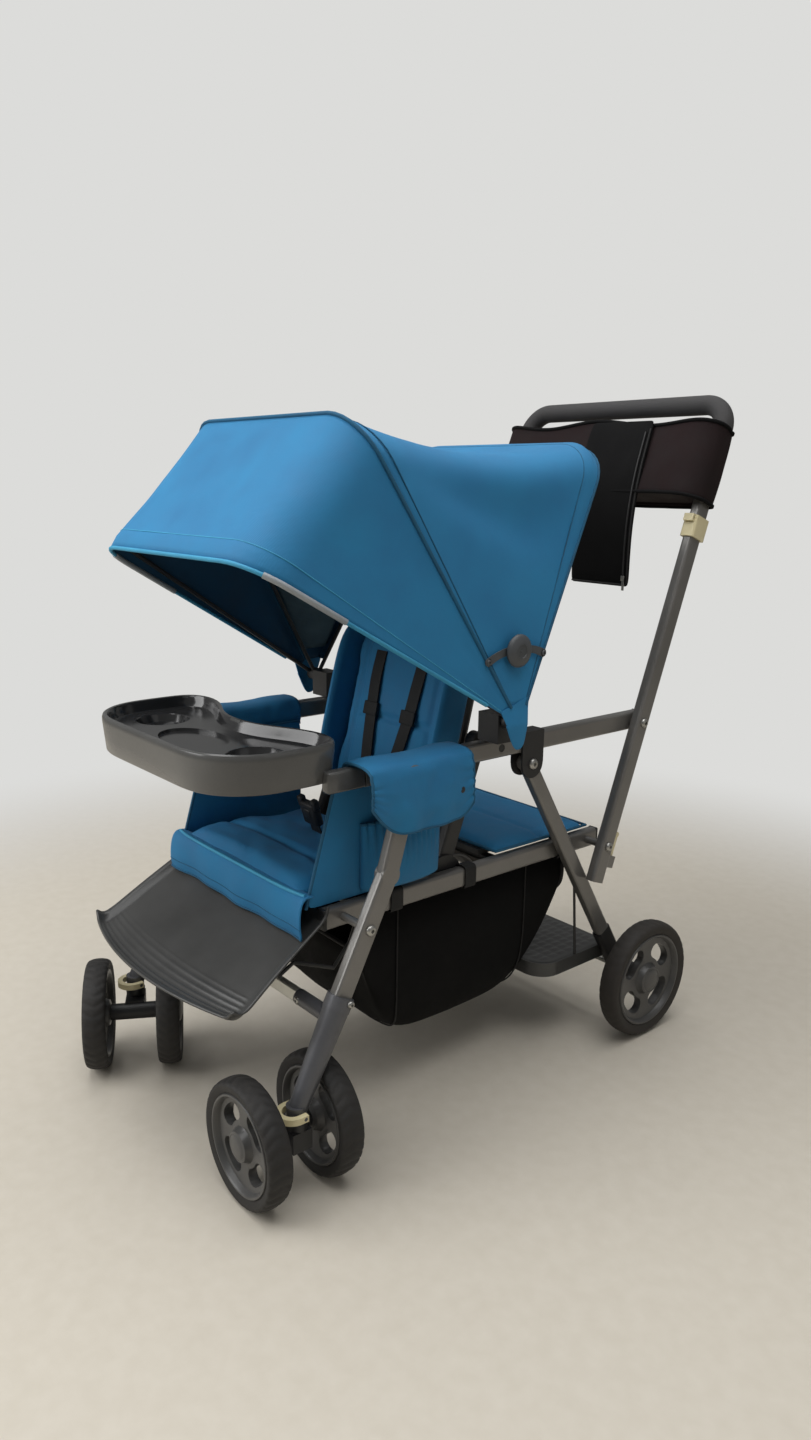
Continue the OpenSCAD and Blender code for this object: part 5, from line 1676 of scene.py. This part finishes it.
@dataclass
class Handle:
    """Parent organizer with its pouch on the handle, drawn along the handle's line."""

    # Handle
    pivot: Point2 = (0.228, 0.352)
    run: float = 0.073
    rise: float = 0.2
    # Organizer
    top: float = 0.718
    height: float = 0.128
    half: float = 0.2392
    depth: float = 0.058
    back: float = 0.0242
    inset: float = 0.002
    wall: float = 0.006
    swell: float = 0.01
    wave: float = 0.006
    wave_pitch: float = 26
    dip: float = 0.005
    puff: float = 0.0016
    # Floor and dividers
    floor_wall: float = 0.004
    floor_share: float = 0.985
    floor_middle: float = -0.018
    edge_cord: float = 0.0032
    dividers: Point3 = (-0.118, -0.008, 0.118)
    divider_wall: float = 0.003
    # Pouch
    pouch_x: float = -0.004
    pouch_width: float = 0.132
    pouch_drop: float = 0.162
    pouch_gap: float = 0.001
    pouch_tuck: float = 0.004
    pouch_middle: float = 0.0032
    pouch_half: float = 0.0012
    pouch_fill: float = 0.0022
    pouch_wave: float = 0.003
    pouch_corner: float = 0.03
    pouch_cord: float = 0.0016
    turn: Matrix = field(init=False)

    def __post_init__(self) -> None:
        """Works out the turn from the handle's own line to the row frame."""
        tilt = -atan2(self.run, self.rise)
        self.turn = Matrix.Translation(Vector((0, *self.pivot))) @ Matrix.Rotation(tilt, 4, "X")

    @property
    def low(self) -> float:
        """Gives the organizer's foot along the handle."""
        return self.top - self.height

    def outline(self) -> list[Point2]:
        """Finds the organizer's plan, from its back round its front.

        Returns:
            The closed plan's points.
        """
        half = self.half - self.inset
        front, back = -self.depth + self.inset, self.back * 0.8 - self.inset
        shares = [(0, back), (0.6, back), (1, back), (1, 0), (1, front * 0.55), (0.86, front), (0.4, front),
                  (0, front * 0.98)]
        line = smoothed([(half * share, y) for share, y in shares], 3)
        return line + [(-x, y) for x, y in reversed(line[:-1])]

    def organizer(self) -> None:
        """Builds the padded sleeve: wall, floor, wavy bound edges and cup dividers."""
        plan = self.outline()

        def place(u: float, v: float) -> Vector:
            """Finds the wall's point.

            Args:
                u: Share round the plan.
                v: Share up.

            Returns:
                The point.
            """
            x, y = along(plan, u)
            swell = 1 + self.swell * hump(v)
            wave = self.wave * cos(x * self.wave_pitch) * (1 if y < 0 else 0.4)
            z = self.low + self.height * v + wave * v ** 3 - self.dip * v
            puff = self.puff * ruffle((x, y, v), (22, 22, 3))
            return self.turn @ Vector((x * swell, y * swell + puff, z))

        def floor(u: float, v: float) -> Vector:
            """Finds the floor's point.

            Args:
                u: Share round the plan.
                v: Share out from the middle.

            Returns:
                The point.
            """
            x, y = along(plan, u)
            out = v * self.floor_share
            return self.turn @ Vector(
                (x * out, (y - self.floor_middle) * out + self.floor_middle, self.low + 0.004 + 0.003 * v))

        wall = sheet_grid(140, 18, place, self.turn @ Vector((0, -0.02, self.low + 0.06)), True)
        piece = new_piece("organizer_padded", wall, NEOPRENE)
        thicken(piece, self.wall, -1.0)
        finer(piece)
        settle(piece, "handle", "organizer_cloth", "organizer")
        bm = sheet_grid(90, 6, floor, self.turn @ Vector((0, 0, self.low + 1)), True)
        base = new_piece("organizer_floor", bm, NEOPRENE)
        thicken(base, self.floor_wall, 0.0)
        settle(base, "handle", "organizer_cloth")
        edges = [tube([place(u, v) for u in walk(160)], self.edge_cord) for v in (1.0, 0.0)]
        for x in self.dividers:
            bm = sheet_grid(10, 8, lambda u, v, x=x: self.turn @ Vector(
                (x + 0.006 * hump(u), -0.05 + 0.064 * u, self.low + 0.008 + 0.105 * v)))
            edges.append(walled(bm, self.divider_wall))
        settle(new_piece("organizer_binding", joined(edges), POUCH_CLOTH), "handle", "pouch_cloth")

    def pouch(self) -> None:
        """Builds the hanging zip pouch with its zip, piping and metal pull."""
        line = Vector((0, 0.3429, 0.9394))
        out = Vector((0, -0.9394, 0.3429))
        face = Vector((0, *self.pivot)) + line * self.low + out * (self.depth + self.pouch_gap)
        head = face + line * (self.height - self.pouch_tuck)
        tail = face - UP * self.pouch_drop
        path = smoothed([(spot.y, spot.z) for spot in (head, face, tail)], 3)

        def place(x: float, y: float, z: float) -> Vector:
            """Finds the pouch's point.

            Args:
                x: Across, from -1 to 1.
                y: From -1 at its face to 1 at its back.
                z: From -1 at its foot to 1 at its head.

            Returns:
                The point.
            """
            u = (1 - z) / 2
            deep, high = along(path, u)
            half = 1 - self.pouch_corner * rounding(abs(z), 0.85)
            wall = self.pouch_half + self.pouch_fill * bulge(x, z, (8, 10))
            wave = self.pouch_wave * sin(u * 5.5) * x
            return Vector((self.pouch_x + self.pouch_width * (0.5 + 0.5 * x * half),
                           deep - self.pouch_middle + wall * y + wave, high))

        bag = new_piece("pouch_padded", block_grid(18, lambda c: place(*c)), POUCH_CLOTH)
        finer(bag)
        settle(bag, "handle", "pouch_cloth", "organizer_pouch")
        edge = [place(0.97, -1.25, 0.9 - 1.88 * share) for share in walk(40)]
        edge += [place(0.97 - 1.94 * share, -1.25, -0.98) for share in walk(24)[1:]]
        settle(new_piece("pouch_piping", tube(edge, self.pouch_cord), BLACK_TAPE), "handle", "webbing")
        zipper = tube([place(0.86, -1.6, 0.86 - 1.74 * share) for share in walk(60)], self.pouch_cord)
        settle(new_piece("pouch_zip", zipper, BLACK_PLASTIC), "handle", "black_plastic")
        end = place(0.86, -1.7, -0.9)
        pull = joined([box((0.007, 0.003, 0.009), end, 0.001),
                       box((0.005, 0.0016, 0.018), end - Vector((-0.001, 0, 0.012)), 0.0006)])
        settle(new_piece("pouch_zip_pull", pull, STEEL), "handle", "crossbar_metal")

    def build(self) -> None:
        """Builds the organizer and the pouch."""
        self.organizer()
        self.pouch()


@dataclass
class SnackTray:
    """Kidney-shaped snack tray with a rolled rim, a skirt, a dish and cup wells."""

    # Plan
    half: float = 0.2
    back: float = -0.287
    depth: float = 0.196
    front_r: float = 0.095
    rear_r: float = 0.034
    belly_r: float = 0.17
    belly_in: float = 0.044
    centre: Point2 = (0.0, -0.408)
    count: int = 144
    # Section over the rim to the deck: distance inside the plan, and height
    section: Outline = (
        (0.009, 0.5505), (0.006, 0.55), (0.0045, 0.552), (0.0025, 0.572), (0.0004, 0.593),
        (0.0003, 0.599), (0.0015, 0.6025), (0.004, 0.604), (0.007, 0.6032), (0.0092, 0.6),
        (0.0105, 0.593), (0.013, 0.5878), (0.018, 0.586))
    deck: float = 0.5858
    deck_shares: tuple[float, ...] = (0.8, 0.55, 0.3, 0.08)
    underside: float = 0.5672
    underside_shares: tuple[float, ...] = (0.08, 0.5, 0.97)
    # Cup wells and dish
    cup: Outline = (
        (0, -0.0138), (0.03, -0.0138), (0.0352, -0.012), (0.0372, -0.006), (0.0384, -0.001),
        (0.0405, 0.0006), (0.0405, 0.02), (0, 0.02))
    cup_at: Point3 = (0.128, -0.385, 0.586)
    dish_half: Point2 = (0.066, 0.042)
    dish_at: Point2 = (-0.405, 0.5815)
    dish_rise: float = 0.02
    # Arms that push into the rails
    arm_x: float = 0.198
    arm_z: float = 0.552
    arm_size: Point3 = (0.017, 0.062, 0.03)
    arm_y: float = -0.2942
    arm_edge: float = 0.004
    pin: Outline = ((0.0064, 0), (0.0064, 0.034), (0.005, 0.0358), (0, 0.0358))
    pin_y: float = -0.2635
    # Where the glossy top ends
    gloss_inset: float = 0.0085
    gloss_floor: float = 0.57

    def inside(self, x: float, y: float, inset: float) -> bool:
        """Tells whether a point lies inside the plan.

        Args:
            x: The point across.
            y: The point along.
            inset: Distance drawn in.

        Returns:
            True inside.
        """
        x = abs(x)
        front = (self.half - self.front_r, self.back - self.depth + self.front_r)
        rear = (self.half - self.rear_r, self.back - self.rear_r)
        if dist((x, y), (0, self.back + self.belly_r - self.belly_in)) < self.belly_r + inset:
            return False
        if y < front[1]:
            corner = dist((x, y), front) < self.front_r - inset
            return y > self.back - self.depth + inset if x < front[0] else corner
        if y > rear[1]:
            corner = dist((x, y), rear) < self.rear_r - inset
            return y < self.back - inset if x < rear[0] else corner
        return x < self.half - inset

    def ring(self, inset: float) -> list[Point2]:
        """Traces the plan round its centre.

        Args:
            inset: Distance drawn in.

        Returns:
            The closed line's points.
        """
        line = []
        for k in range(self.count):
            angle = tau * k / self.count
            way = (cos(angle), sin(angle))
            low, high = 0.0, 0.3
            for _ in range(22):
                mid = (low + high) / 2
                spot = (self.centre[0] + mid * way[0], self.centre[1] + mid * way[1])
                low, high = (mid, high) if self.inside(*spot, inset) else (low, mid)
            line.append((self.centre[0] + low * way[0], self.centre[1] + low * way[1]))
        for _ in range(6):
            line = [tuple((before + 2 * here + after) / 4 for before, here, after in zip(*spots))
                    for spots in zip(line[-1:] + line[:-1], line, line[1:] + line[:1])]
        return line

    def shell(self) -> BMesh:
        """Makes the closed shell: skirt, rim, deck and underside.

        Returns:
            The mesh.
        """
        rings = [(self.ring(inset), z) for inset, z in self.section]
        foot, deck = rings[0][0], rings[-1][0]
        for outer, shares, z in ((deck, self.deck_shares, self.deck),
                                 (foot, self.underside_shares, self.underside)):
            rings += [([between(self.centre, spot, share) for spot in outer], z) for share in shares]
        rings.append(rings[0])

        def place(u: float, v: float) -> Vector:
            """Finds the shell's point."""
            line, z = rings[round(v * (len(rings) - 1))]
            return Vector((*line[round(u * self.count) % self.count], z))

        bm = sheet_grid(self.count, len(rings) - 1, place, None, True)
        # The sheet's small hole in the middle is closed above and below
        hole = [face for face in bm.faces if abs(face.normal.z) < 0.5
                and dist(face.calc_center_median().xy, self.centre) < 0.03]
        bmesh.ops.delete(bm, geom=hole, context="FACES")
        bmesh.ops.holes_fill(bm, edges=bm.edges, sides=0)
        bmesh.ops.recalc_face_normals(bm, faces=bm.faces)
        return bm

    def wells(self) -> BMesh:
        """Makes the closed shape of the two cup wells and the oval dish.

        Returns:
            The mesh.
        """
        x, y, z = self.cup_at
        cups = [lathe(self.cup, Vector((side * x, y, z)), UP, 48) for side in (1, -1)]
        dish = sheet_grid(
            64, 2, lambda u, v: Vector((self.dish_half[0] * cos(tau * u), self.dish_at[0] + self.dish_half[1]
            * sin(tau * u), self.dish_at[1] + self.dish_rise * v)), None, True)
        bmesh.ops.holes_fill(dish, edges=dish.edges, sides=0)
        bmesh.ops.recalc_face_normals(dish, faces=dish.faces)
        return joined([*cups, dish])

    def build(self) -> None:
        """Builds the tray with its wells and arms, glossy on top and satin round its skirt."""
        arms = []
        for side in (1, -1):
            arms.append(box(self.arm_size, (side * self.arm_x, self.arm_y, self.arm_z), self.arm_edge))
            arms.append(lathe(self.pin, Vector((side * self.arm_x, self.pin_y, self.arm_z)), AHEAD, 20))
        bm = joined([carved(self.shell(), self.wells()), *arms])
        edge = [dist(spot, self.centre) for spot in self.ring(self.gloss_inset)]
        for face in bm.faces:
            spot = face.calc_center_median()
            turn = atan2(spot.y - self.centre[1], spot.x - self.centre[0]) % tau
            reach = edge[round(turn / tau * self.count) % self.count]
            glossy = dist(spot.xy, self.centre) < reach and spot.z > self.gloss_floor
            face.material_index = 0 if glossy else 1
        piece = new_piece("snack_tray_dressed", bm, TRAY_PLASTIC, TRAY_SKIRT, angle=32)
        settle(piece, "tray", "tray_plastic", "tray")


@dataclass
class Footrest:
    """Moulded footrest plate with side flanges and ribbed front lip."""

    # Plate
    back: float = -0.3126
    top: float = 0.345
    reach: float = 0.158
    fall: float = 0.08
    lip: float = 0.034
    bow: float = 0.62
    half: float = 0.186
    flare: float = 0.017
    flare_share: float = 0.85
    wall: float = 0.0036
    # Flanges, which start at a share of the half width
    flange: float = 0.012
    flange_from: float = 0.93
    # Ribs, with their places as shares
    rib: float = 0.0013
    ribs: int = 20
    rib_from: float = 0.7
    rib_to: float = 0.985
    rib_half: float = 0.9

    def build(self) -> None:
        """Builds the plate with its flanges, ribs and lip."""
        nose, low = self.back - self.reach, self.top - self.fall
        profile = smoothed(
            [(self.back, self.top + 0.016), (self.back - 0.004, self.top + 0.002),
            (self.back - 0.03, self.top - 0.014), (self.back - 0.11, self.top - 0.056), (nose, low + 0.001),
            (nose - self.lip * 0.6, low - 0.003), (nose - self.lip, low + 0.004)])

        def place(u: float, v: float) -> Vector:
            """Finds the plate's point.

            Args:
                u: Share across.
                v: Share along the profile.

            Returns:
                The point.
            """
            y, z = along(profile, v)
            across = 2 * u - 1
            share = (self.back - y) / (self.reach + self.lip)
            x = (self.half + self.flare * min(1.0, share / self.flare_share)) * across
            y += (self.bow - sqrt(self.bow ** 2 - x * x)) * share ** 2
            wall = max(0.0, (abs(across) - self.flange_from) / (1 - self.flange_from))
            z += self.flange * wall * wall * (3 - 2 * wall)
            if abs(across) < self.rib_half:
                zone = clamp((share - self.rib_from) / 0.03) * clamp((self.rib_to - share) / 0.02)
                z += self.rib * zone * max(0.0, sin(share * tau * self.ribs)) ** 0.7
            return Vector((x, y, z))

        bm = sheet_grid(72, 130, place, Vector((0, -0.4, 0.0)))
        piece = new_piece("footrest_plate", bm, DARK_PLASTIC, angle=60)
        thicken(piece, self.wall, -1.0)
        settle(piece, "seat_frame", "footrest_plastic", "footrest")


@dataclass
class Platform:
    """Grip mat on the standing platform."""

    # Mat
    top: float = 0.1501
    back: float = 0.2915
    front: float = 0.1275
    half: float = 0.1845
    wall: float = 0.0006
    corner: float = 0.2
    corner_from: float = 0.77
    # Grip bars
    bar: float = 0.0016
    bar_pitch: Point2 = (420, 300)

    def build(self) -> None:
        """Builds the mat with its raised grip bars."""
        def place(u: float, v: float) -> Vector:
            """Finds the mat's point.

            Args:
                u: Share across.
                v: Share forward.

            Returns:
                The point.
            """
            x, y = self.half * (2 * u - 1), self.back + (self.front - self.back) * v
            x *= 1 - self.corner * (1 - sqrt(max(0.0, 1 - rounding(v, self.corner_from))))
            barred = sin(x * self.bar_pitch[0]) > 0.0 and sin(y * self.bar_pitch[1]) > -0.6
            field_of_bars = abs(2 * u - 1) < 0.93 and 0.06 < v < 0.92
            return Vector((x, y, self.top + (self.bar if barred and field_of_bars else self.wall)))

        bm = sheet_grid(100, 48, place, Vector((0, 0.2, 0)))
        piece = new_piece("platform_grip_mat", bm, DARK_PLASTIC, angle=70)
        settle(piece, "rear_legs", "platform_plastic")


@dataclass
class Wheels:
    """Wheels with kidney-shaped openings, domed caps and treaded tyres."""

    # Radius and width, depth of the tread and grooves round the tyre
    front: Point2 = (0.087, 0.036)
    rear: Point2 = (0.1016, 0.036)
    front_tread: tuple[float, int] = (0.0012, 34)
    rear_tread: tuple[float, int] = (0.0006, 40)
    # Rim's half section, as shares of the radius and heights
    rim_section: Outline = (
        (0.797, 0.014), (0.785, 0.016), (0.76, 0.0162), (0.735, 0.014), (0.715, 0.0075), (0.4, 0.0062),
        (0.285, 0.0072), (0.255, 0.011), (0.235, 0.0165), (0.205, 0.0178), (0.195, 0.0172), (0.185, 0.018),
        (0.12, 0.0196), (0.0, 0.0202))
    # Openings, with their sizes as shares of the radius
    openings: int = 4
    opening_mid: float = 0.5
    opening_half: float = 0.138
    opening_sweep: float = radians(16)
    knife_depth: float = 0.06
    bevel: float = 0.0009
    # Tyre, in shares of the radius and the width
    bead: float = 0.799
    bead_half: float = 0.395
    shoulder: float = 0.9
    crown: float = 0.0995
    groove_share: float = 0.34
    groove_slant: float = 0.9

    def opening(self, radius: float) -> list[Point2]:
        """Draws one kidney-shaped opening on the X axis.

        Args:
            radius: Radius of the wheel.

        Returns:
            The closed outline's points.
        """
        mid, half, sweep = self.opening_mid * radius, self.opening_half * radius, self.opening_sweep
        x, y = mid * cos(sweep), mid * sin(sweep)
        line = arc((0, 0), mid + half, -sweep, 2 * sweep)
        line += arc((x, y), half, sweep, pi)[1:-1]
        line += arc((0, 0), mid - half, sweep, -2 * sweep)
        line += arc((x, -y), half, pi - sweep, pi)[1:-1]
        return line

    def rim(self, radius: float) -> BMesh:
        """Makes a rim about the Z axis, with openings cut through its web.

        Args:
            radius: Radius of the wheel.

        Returns:
            The mesh.
        """
        profile = [(share * radius, height) for share, height in self.rim_section]
        body = lathe([*[(r, -height) for r, height in reversed(profile)], *profile], Vector(), UP, 72)
        knives = []
        for k in range(self.openings):
            bm = bmesh.new()
            outline = [bm.verts.new((x, y, -self.knife_depth / 2)) for x, y in self.opening(radius)]
            base = bm.faces.new(outline)
            lifted = bmesh.ops.extrude_face_region(bm, geom=[base])["geom"]
            bmesh.ops.translate(bm, vec=UP * self.knife_depth,
                                verts=[part for part in lifted if isinstance(part, bmesh.types.BMVert)])
            bmesh.ops.recalc_face_normals(bm, faces=bm.faces)
            knives.append(moved(bm, Matrix.Rotation(tau * (k + 0.5) / self.openings, 4, "Z")))
        return carved(body, joined(knives), self.bevel)

    def tyre(self, radius: float, width: float, groove: float, chevrons: int) -> BMesh:
        """Makes a tyre about the Z axis.

        Args:
            radius: Radius of the wheel.
            width: Width of the tyre.
            groove: Depth of the tread.
            chevrons: Grooves round the tyre.

        Returns:
            The mesh.
        """
        bead = width * self.bead_half
        section = [(radius * self.bead, -bead, 0.0)]
        for k in range(17):
            angle = radians(-90 + 180 * k / 16)
            crown = self.crown * max(0.0, cos(angle)) ** 0.7
            section.append((radius * (self.shoulder + crown), width / 2 * sin(angle), sin(angle)))
        section += [(radius * self.bead, bead, 0.0), section[0]]

        def place(u: float, v: float) -> Vector:
            """Finds the tyre's point.

            Args:
                u: Share round.
                v: Share through the section.

            Returns:
                The point.
            """
            r, h, across = section[round(v * (len(section) - 1))]
            phase = (u * chevrons + self.groove_slant * abs(across)) % 1.0
            if 0.1 < abs(across) < 0.93 and phase < self.groove_share:
                r -= groove
            return Vector((r * cos(tau * u), r * sin(tau * u), h))

        bm = sheet_grid(chevrons * 6, len(section) - 1, place, None, True)
        bmesh.ops.recalc_face_normals(bm, faces=bm.faces)
        return bm

    def build(self) -> None:
        """Builds all the wheels at their joints' axes."""
        for joint in frame["joints"]:
            if not joint["name"].endswith("_spin"):
                continue
            body = joint["child"]
            spot = Matrix.Translation(Vector(joint["pos_m"])) @ turned_up(Vector(joint["axis"]))
            if body.startswith("rear_wheel"):
                size, tread, rubber = self.rear, self.rear_tread, WORN_RUBBER
                stem, side = "rear", "_" + body.rsplit("_", 1)[-1]
            else:
                size, tread, rubber = self.front, self.front_tread, TYRE_RUBBER
                stem, side = body.removesuffix("_wheel"), ""
            for slot, bm, finish in (("tyre", self.tyre(*size, *tread), rubber),
                                     ("rim", self.rim(size[0]), RIM_PLASTIC)):
                piece = new_piece(f"{body}_{slot}_dressed", moved(bm, spot), finish, angle=40)
                settle(piece, body, slot, f"{stem}_{slot}{side}")


@dataclass
class FrameTrim:
    """Finishes of the CAD frame, with bolts, plugs and studs on it."""

    # Bolts: radius and height of the heads
    pivot_bolt: Point2 = (0.0078, 0.0046)
    leg_bolt: Point2 = (0.0052, 0.004)
    bar_bolt: Point2 = (0.006, 0.004)
    hinge_bolt: Point2 = (0.0085, 0.005)
    # Studs behind the handle
    stud: Outline = ((0.0042, 0), (0.0042, 0.003), (0.003, 0.0042), (0, 0.0044))
    stud_x: float = 0.221
    stud_places: tuple[Point2, Point2] = ((0.366, 0.776), (0.344, 0.716))
    stud_seat: float = 0.0145
    # Plugs in the ends of the tubes
    plug: Point2 = (0.0182, 0.0302)
    rail_ends: Point2 = (-0.3135, 0.2535)

    def finishes(self) -> None:
        """Dresses the CAD nodes that stay."""
        dress(["seat_rails", "handle_tubes", "front_leg_tubes", "rear_leg_tubes", "arm_rail_tubes"],
              FRAME_PAINT)
        dress(["seat_cross_tubes", "arm_posts", "backrest_frame", "platform_braces", "footrest_wires",
               "canopy_rear_bow", "canopy_mid_bow", "canopy_front_bow"], DARK_PAINT)
        dress(["pivot_housings", "recline_brackets", "hinge_blocks", "canopy_mounts", "rear_brackets",
               "caster_fork_left", "caster_fork_right"], BLACK_PLASTIC)
        dress(["standing_platform", "seat_boards"], DARK_PLASTIC)
        dress(["grip_foam"], FOAM)
        dress(["hook_clips", "latch_lever_left", "latch_lever_right", "swivel_lock_left",
               "swivel_lock_right"], CREAM_PLASTIC)
        dress(["leg_castings"], CASTING)
        dress(["front_crossbar"], PALE_METAL)
        dress(["rear_axle"], STEEL)

    def build(self) -> None:
        """Adds the bolts, plugs and studs."""
        self.finishes()
        back = Vector((0, 0.9394, -0.3429))
        handle = [bolt(Vector((0.2302, 0.228, 0.352)), ACROSS, *self.pivot_bolt),
                  bolt(Vector((0.2302, 0.301, 0.552)), ACROSS, *self.pivot_bolt)]
        handle += [lathe(self.stud, Vector((self.stud_x, *place)) + back * self.stud_seat, back, 16)
                   for place in self.stud_places]
        legs = [bolt(Vector((0.2442, -0.284, 0.352)), ACROSS, *self.pivot_bolt),
                bolt(Vector((0.2538, -0.3246, 0.262)), ACROSS, *self.leg_bolt),
                bolt(Vector((0.1665, -0.349, 0.24)), -AHEAD, *self.bar_bolt)]
        hinges = [bolt(Vector((0.2106, 0.056, 0.518)), ACROSS, *self.hinge_bolt)]
        width, height = self.plug
        rail_plugs = [box((width, 0.006, height), (0.175, y, 0.352), 0.0024) for y in self.rail_ends]
        arm_plugs = [box((width, 0.005, height), (0.198, 0.3208, 0.552), 0.0022)]
        for name, parts, finish, body, slot in (
                ("handle_bolts", handle, STEEL, "handle", "crossbar_metal"),
                ("leg_bolts", legs, STEEL, "front_legs", "crossbar_metal"),
                ("hinge_bolts", hinges, STEEL, "arm_rails", "crossbar_metal"),
                ("rail_plugs", rail_plugs, BLACK_PLASTIC, "seat_frame", "black_plastic"),
                ("arm_rail_plugs", arm_plugs, BLACK_PLASTIC, "arm_rails", "black_plastic")):
            settle(new_piece(name, mirrored(joined(parts)), finish), body, slot)


@dataclass
class Studio:
    """Camera, soft lamps, world and floor."""

    # Camera, with lens and sensor in millimetres
    eye: Point3 = (1.24, -1.0758, 0.9292)
    yaw: float = radians(-49.618)
    pitch: float = radians(12.826)
    roll: float = radians(0.856)
    lens: float = 25.73
    sensor: float = 36.0
    # Lamps: the point they face, then name, place, side and watts of each
    aim: Point3 = (0, -0.05, 0.5)
    lamps: tuple[tuple[str, Point3, float, float], ...] = (
        ("ceiling", (0.2, -0.3, 3.0), 3.0, 74), ("window", (-1.2, -2.6, 2.0), 2.2, 56),
        ("fill", (2.8, 0.4, 1.6), 2.0, 3))
    # Room and floor
    glow: str = "#e4e4e2"
    glow_strength: float = 0.25
    tone: str = "#dcdcda"
    floor_radius: float = 9.0
    fade_from: float = 0.9
    fade_to: float = 2.0
    stone: tuple[str, str] = ("#ccc4b5", "#d8d1c4")
    speck_mm: float = 25.0
    stone_rough: float = 0.55

    def camera(self) -> None:
        """Sets the camera at the photograph's viewpoint."""
        data = bpy.data.cameras.new("viewpoint")
        data.lens = self.lens
        data.sensor_width = self.sensor
        data.sensor_fit = "AUTO"
        data.clip_start = 0.01
        data.clip_end = 100.0
        flat = cos(self.pitch)
        ahead = Vector((sin(self.yaw) * flat, cos(self.yaw) * flat, -sin(self.pitch)))
        right = ahead.cross(UP).normalized()
        up = right.cross(ahead)
        c, s = cos(self.roll), sin(self.roll)
        right, up = c * right + s * up, -s * right + c * up
        camera = bpy.data.objects.new("viewpoint", data)
        turn = Matrix((right, up, -ahead)).transposed().to_4x4()
        camera.matrix_world = Matrix.Translation(Vector(self.eye)) @ turn
        bpy.context.scene.collection.objects.link(camera)
        bpy.context.scene.camera = camera

    def lamp(self, name: str, at: Vector, size: float, watts: float) -> None:
        """Hangs one square soft lamp.

        Args:
            name: Its name.
            at: Its place.
            size: Its side.
            watts: Its power.
        """
        data = bpy.data.lights.new(name, "AREA")
        data.size = size
        data.energy = watts
        lamp = bpy.data.objects.new(name, data)
        lamp.location = at
        lamp.rotation_mode = "QUATERNION"
        lamp.rotation_quaternion = (Vector(self.aim) - at).to_track_quat("-Z", "Y")
        bpy.context.scene.collection.objects.link(lamp)

    def world(self) -> None:
        """Makes the room: pale to the camera, and dimmer as a light."""
        world = bpy.data.worlds.new("pale_room")
        bpy.context.scene.world = world
        world.use_nodes = True
        tree = world.node_tree
        tree.nodes.clear()
        glow, plain = (add(tree, "ShaderNodeBackground", None, {"Color": linear(code), "Strength": strength})
                       for code, strength in ((self.glow, self.glow_strength), (self.tone, 1.0)))
        seen = add(tree, "ShaderNodeLightPath").outputs["Is Camera Ray"]
        which = add(tree, "ShaderNodeMixShader", {0: seen, 1: glow.outputs[0], 2: plain.outputs[0]})
        add(tree, "ShaderNodeOutputWorld", {"Surface": which.outputs[0]})

    def floor_finish(self) -> bpy.types.Material:
        """Makes the pale stone floor, which fades into the room.

        Returns:
            The material.
        """
        made = bpy.data.materials.new("floor_pale_stone")
        made.use_nodes = True
        tree = made.node_tree
        tree.nodes.clear()
        where = add(tree, "ShaderNodeTexCoord").outputs["Object"]
        away = add(tree, "ShaderNodeVectorMath", {0: where}, operation="LENGTH")
        fade = add(tree, "ShaderNodeMapRange", {"Value": away.outputs["Value"]},
                   {"From Min": self.fade_from, "From Max": self.fade_to}, interpolation_type="SMOOTHSTEP")
        speck = add(
            tree, "ShaderNodeTexNoise", {"Vector": where}, {"Scale": 1 / (self.speck_mm * MM), "Detail": 5.0})
        first, last = (linear(code) for code in self.stone)
        stone = add(tree, "ShaderNodeMix", {"Factor": speck.outputs["Fac"]}, {"A": first, "B": last},
                    data_type="RGBA")
        matt = add(tree, "ShaderNodeBsdfPrincipled", {"Base Color": stone.outputs["Result"]},
                   {"Roughness": self.stone_rough})
        plain = add(tree, "ShaderNodeEmission", None, {"Color": linear(self.tone), "Strength": 1.0})
        seen = add(tree, "ShaderNodeLightPath").outputs["Is Camera Ray"]
        share = add(tree, "ShaderNodeMath", {0: fade.outputs[0], 1: seen}, operation="MULTIPLY")
        mixed = add(
            tree, "ShaderNodeMixShader", {0: share.outputs[0], 1: matt.outputs[0], 2: plain.outputs[0]})
        add(tree, "ShaderNodeOutputMaterial", {"Surface": mixed.outputs[0]})
        return made

    def floor(self) -> None:
        """Lays the round floor."""
        bm = bmesh.new()
        bmesh.ops.create_circle(bm, cap_ends=True, radius=self.floor_radius, segments=96)
        floor = bpy.data.objects.new("floor", bpy.data.meshes.new("floor"))
        bm.to_mesh(floor.data)
        bm.free()
        floor.data.materials.append(self.floor_finish())
        bpy.context.scene.collection.objects.link(floor)

    def build(self) -> None:
        """Builds the camera, the lamps, the world and the floor."""
        bpy.context.scene.view_settings.view_transform = "Standard"
        self.camera()
        for name, at, size, watts in self.lamps:
            self.lamp(name, Vector(at), size, watts)
        self.world()
        self.floor()


def main() -> None:
    """Builds the studio and every sub-assembly."""
    logging.basicConfig(level=logging.INFO, format="%(name)s %(message)s")
    for assembly in (Studio(), FrameTrim(), Canopy(), FrontSeat(), Backrest(), RearBench(), Basket(),
                     Handle(), SnackTray(), Footrest(), Platform(), Wheels()):
        assembly.build()
        LOG.info("%s done", type(assembly).__name__)
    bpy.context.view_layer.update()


if __name__ == "__main__":
    main()
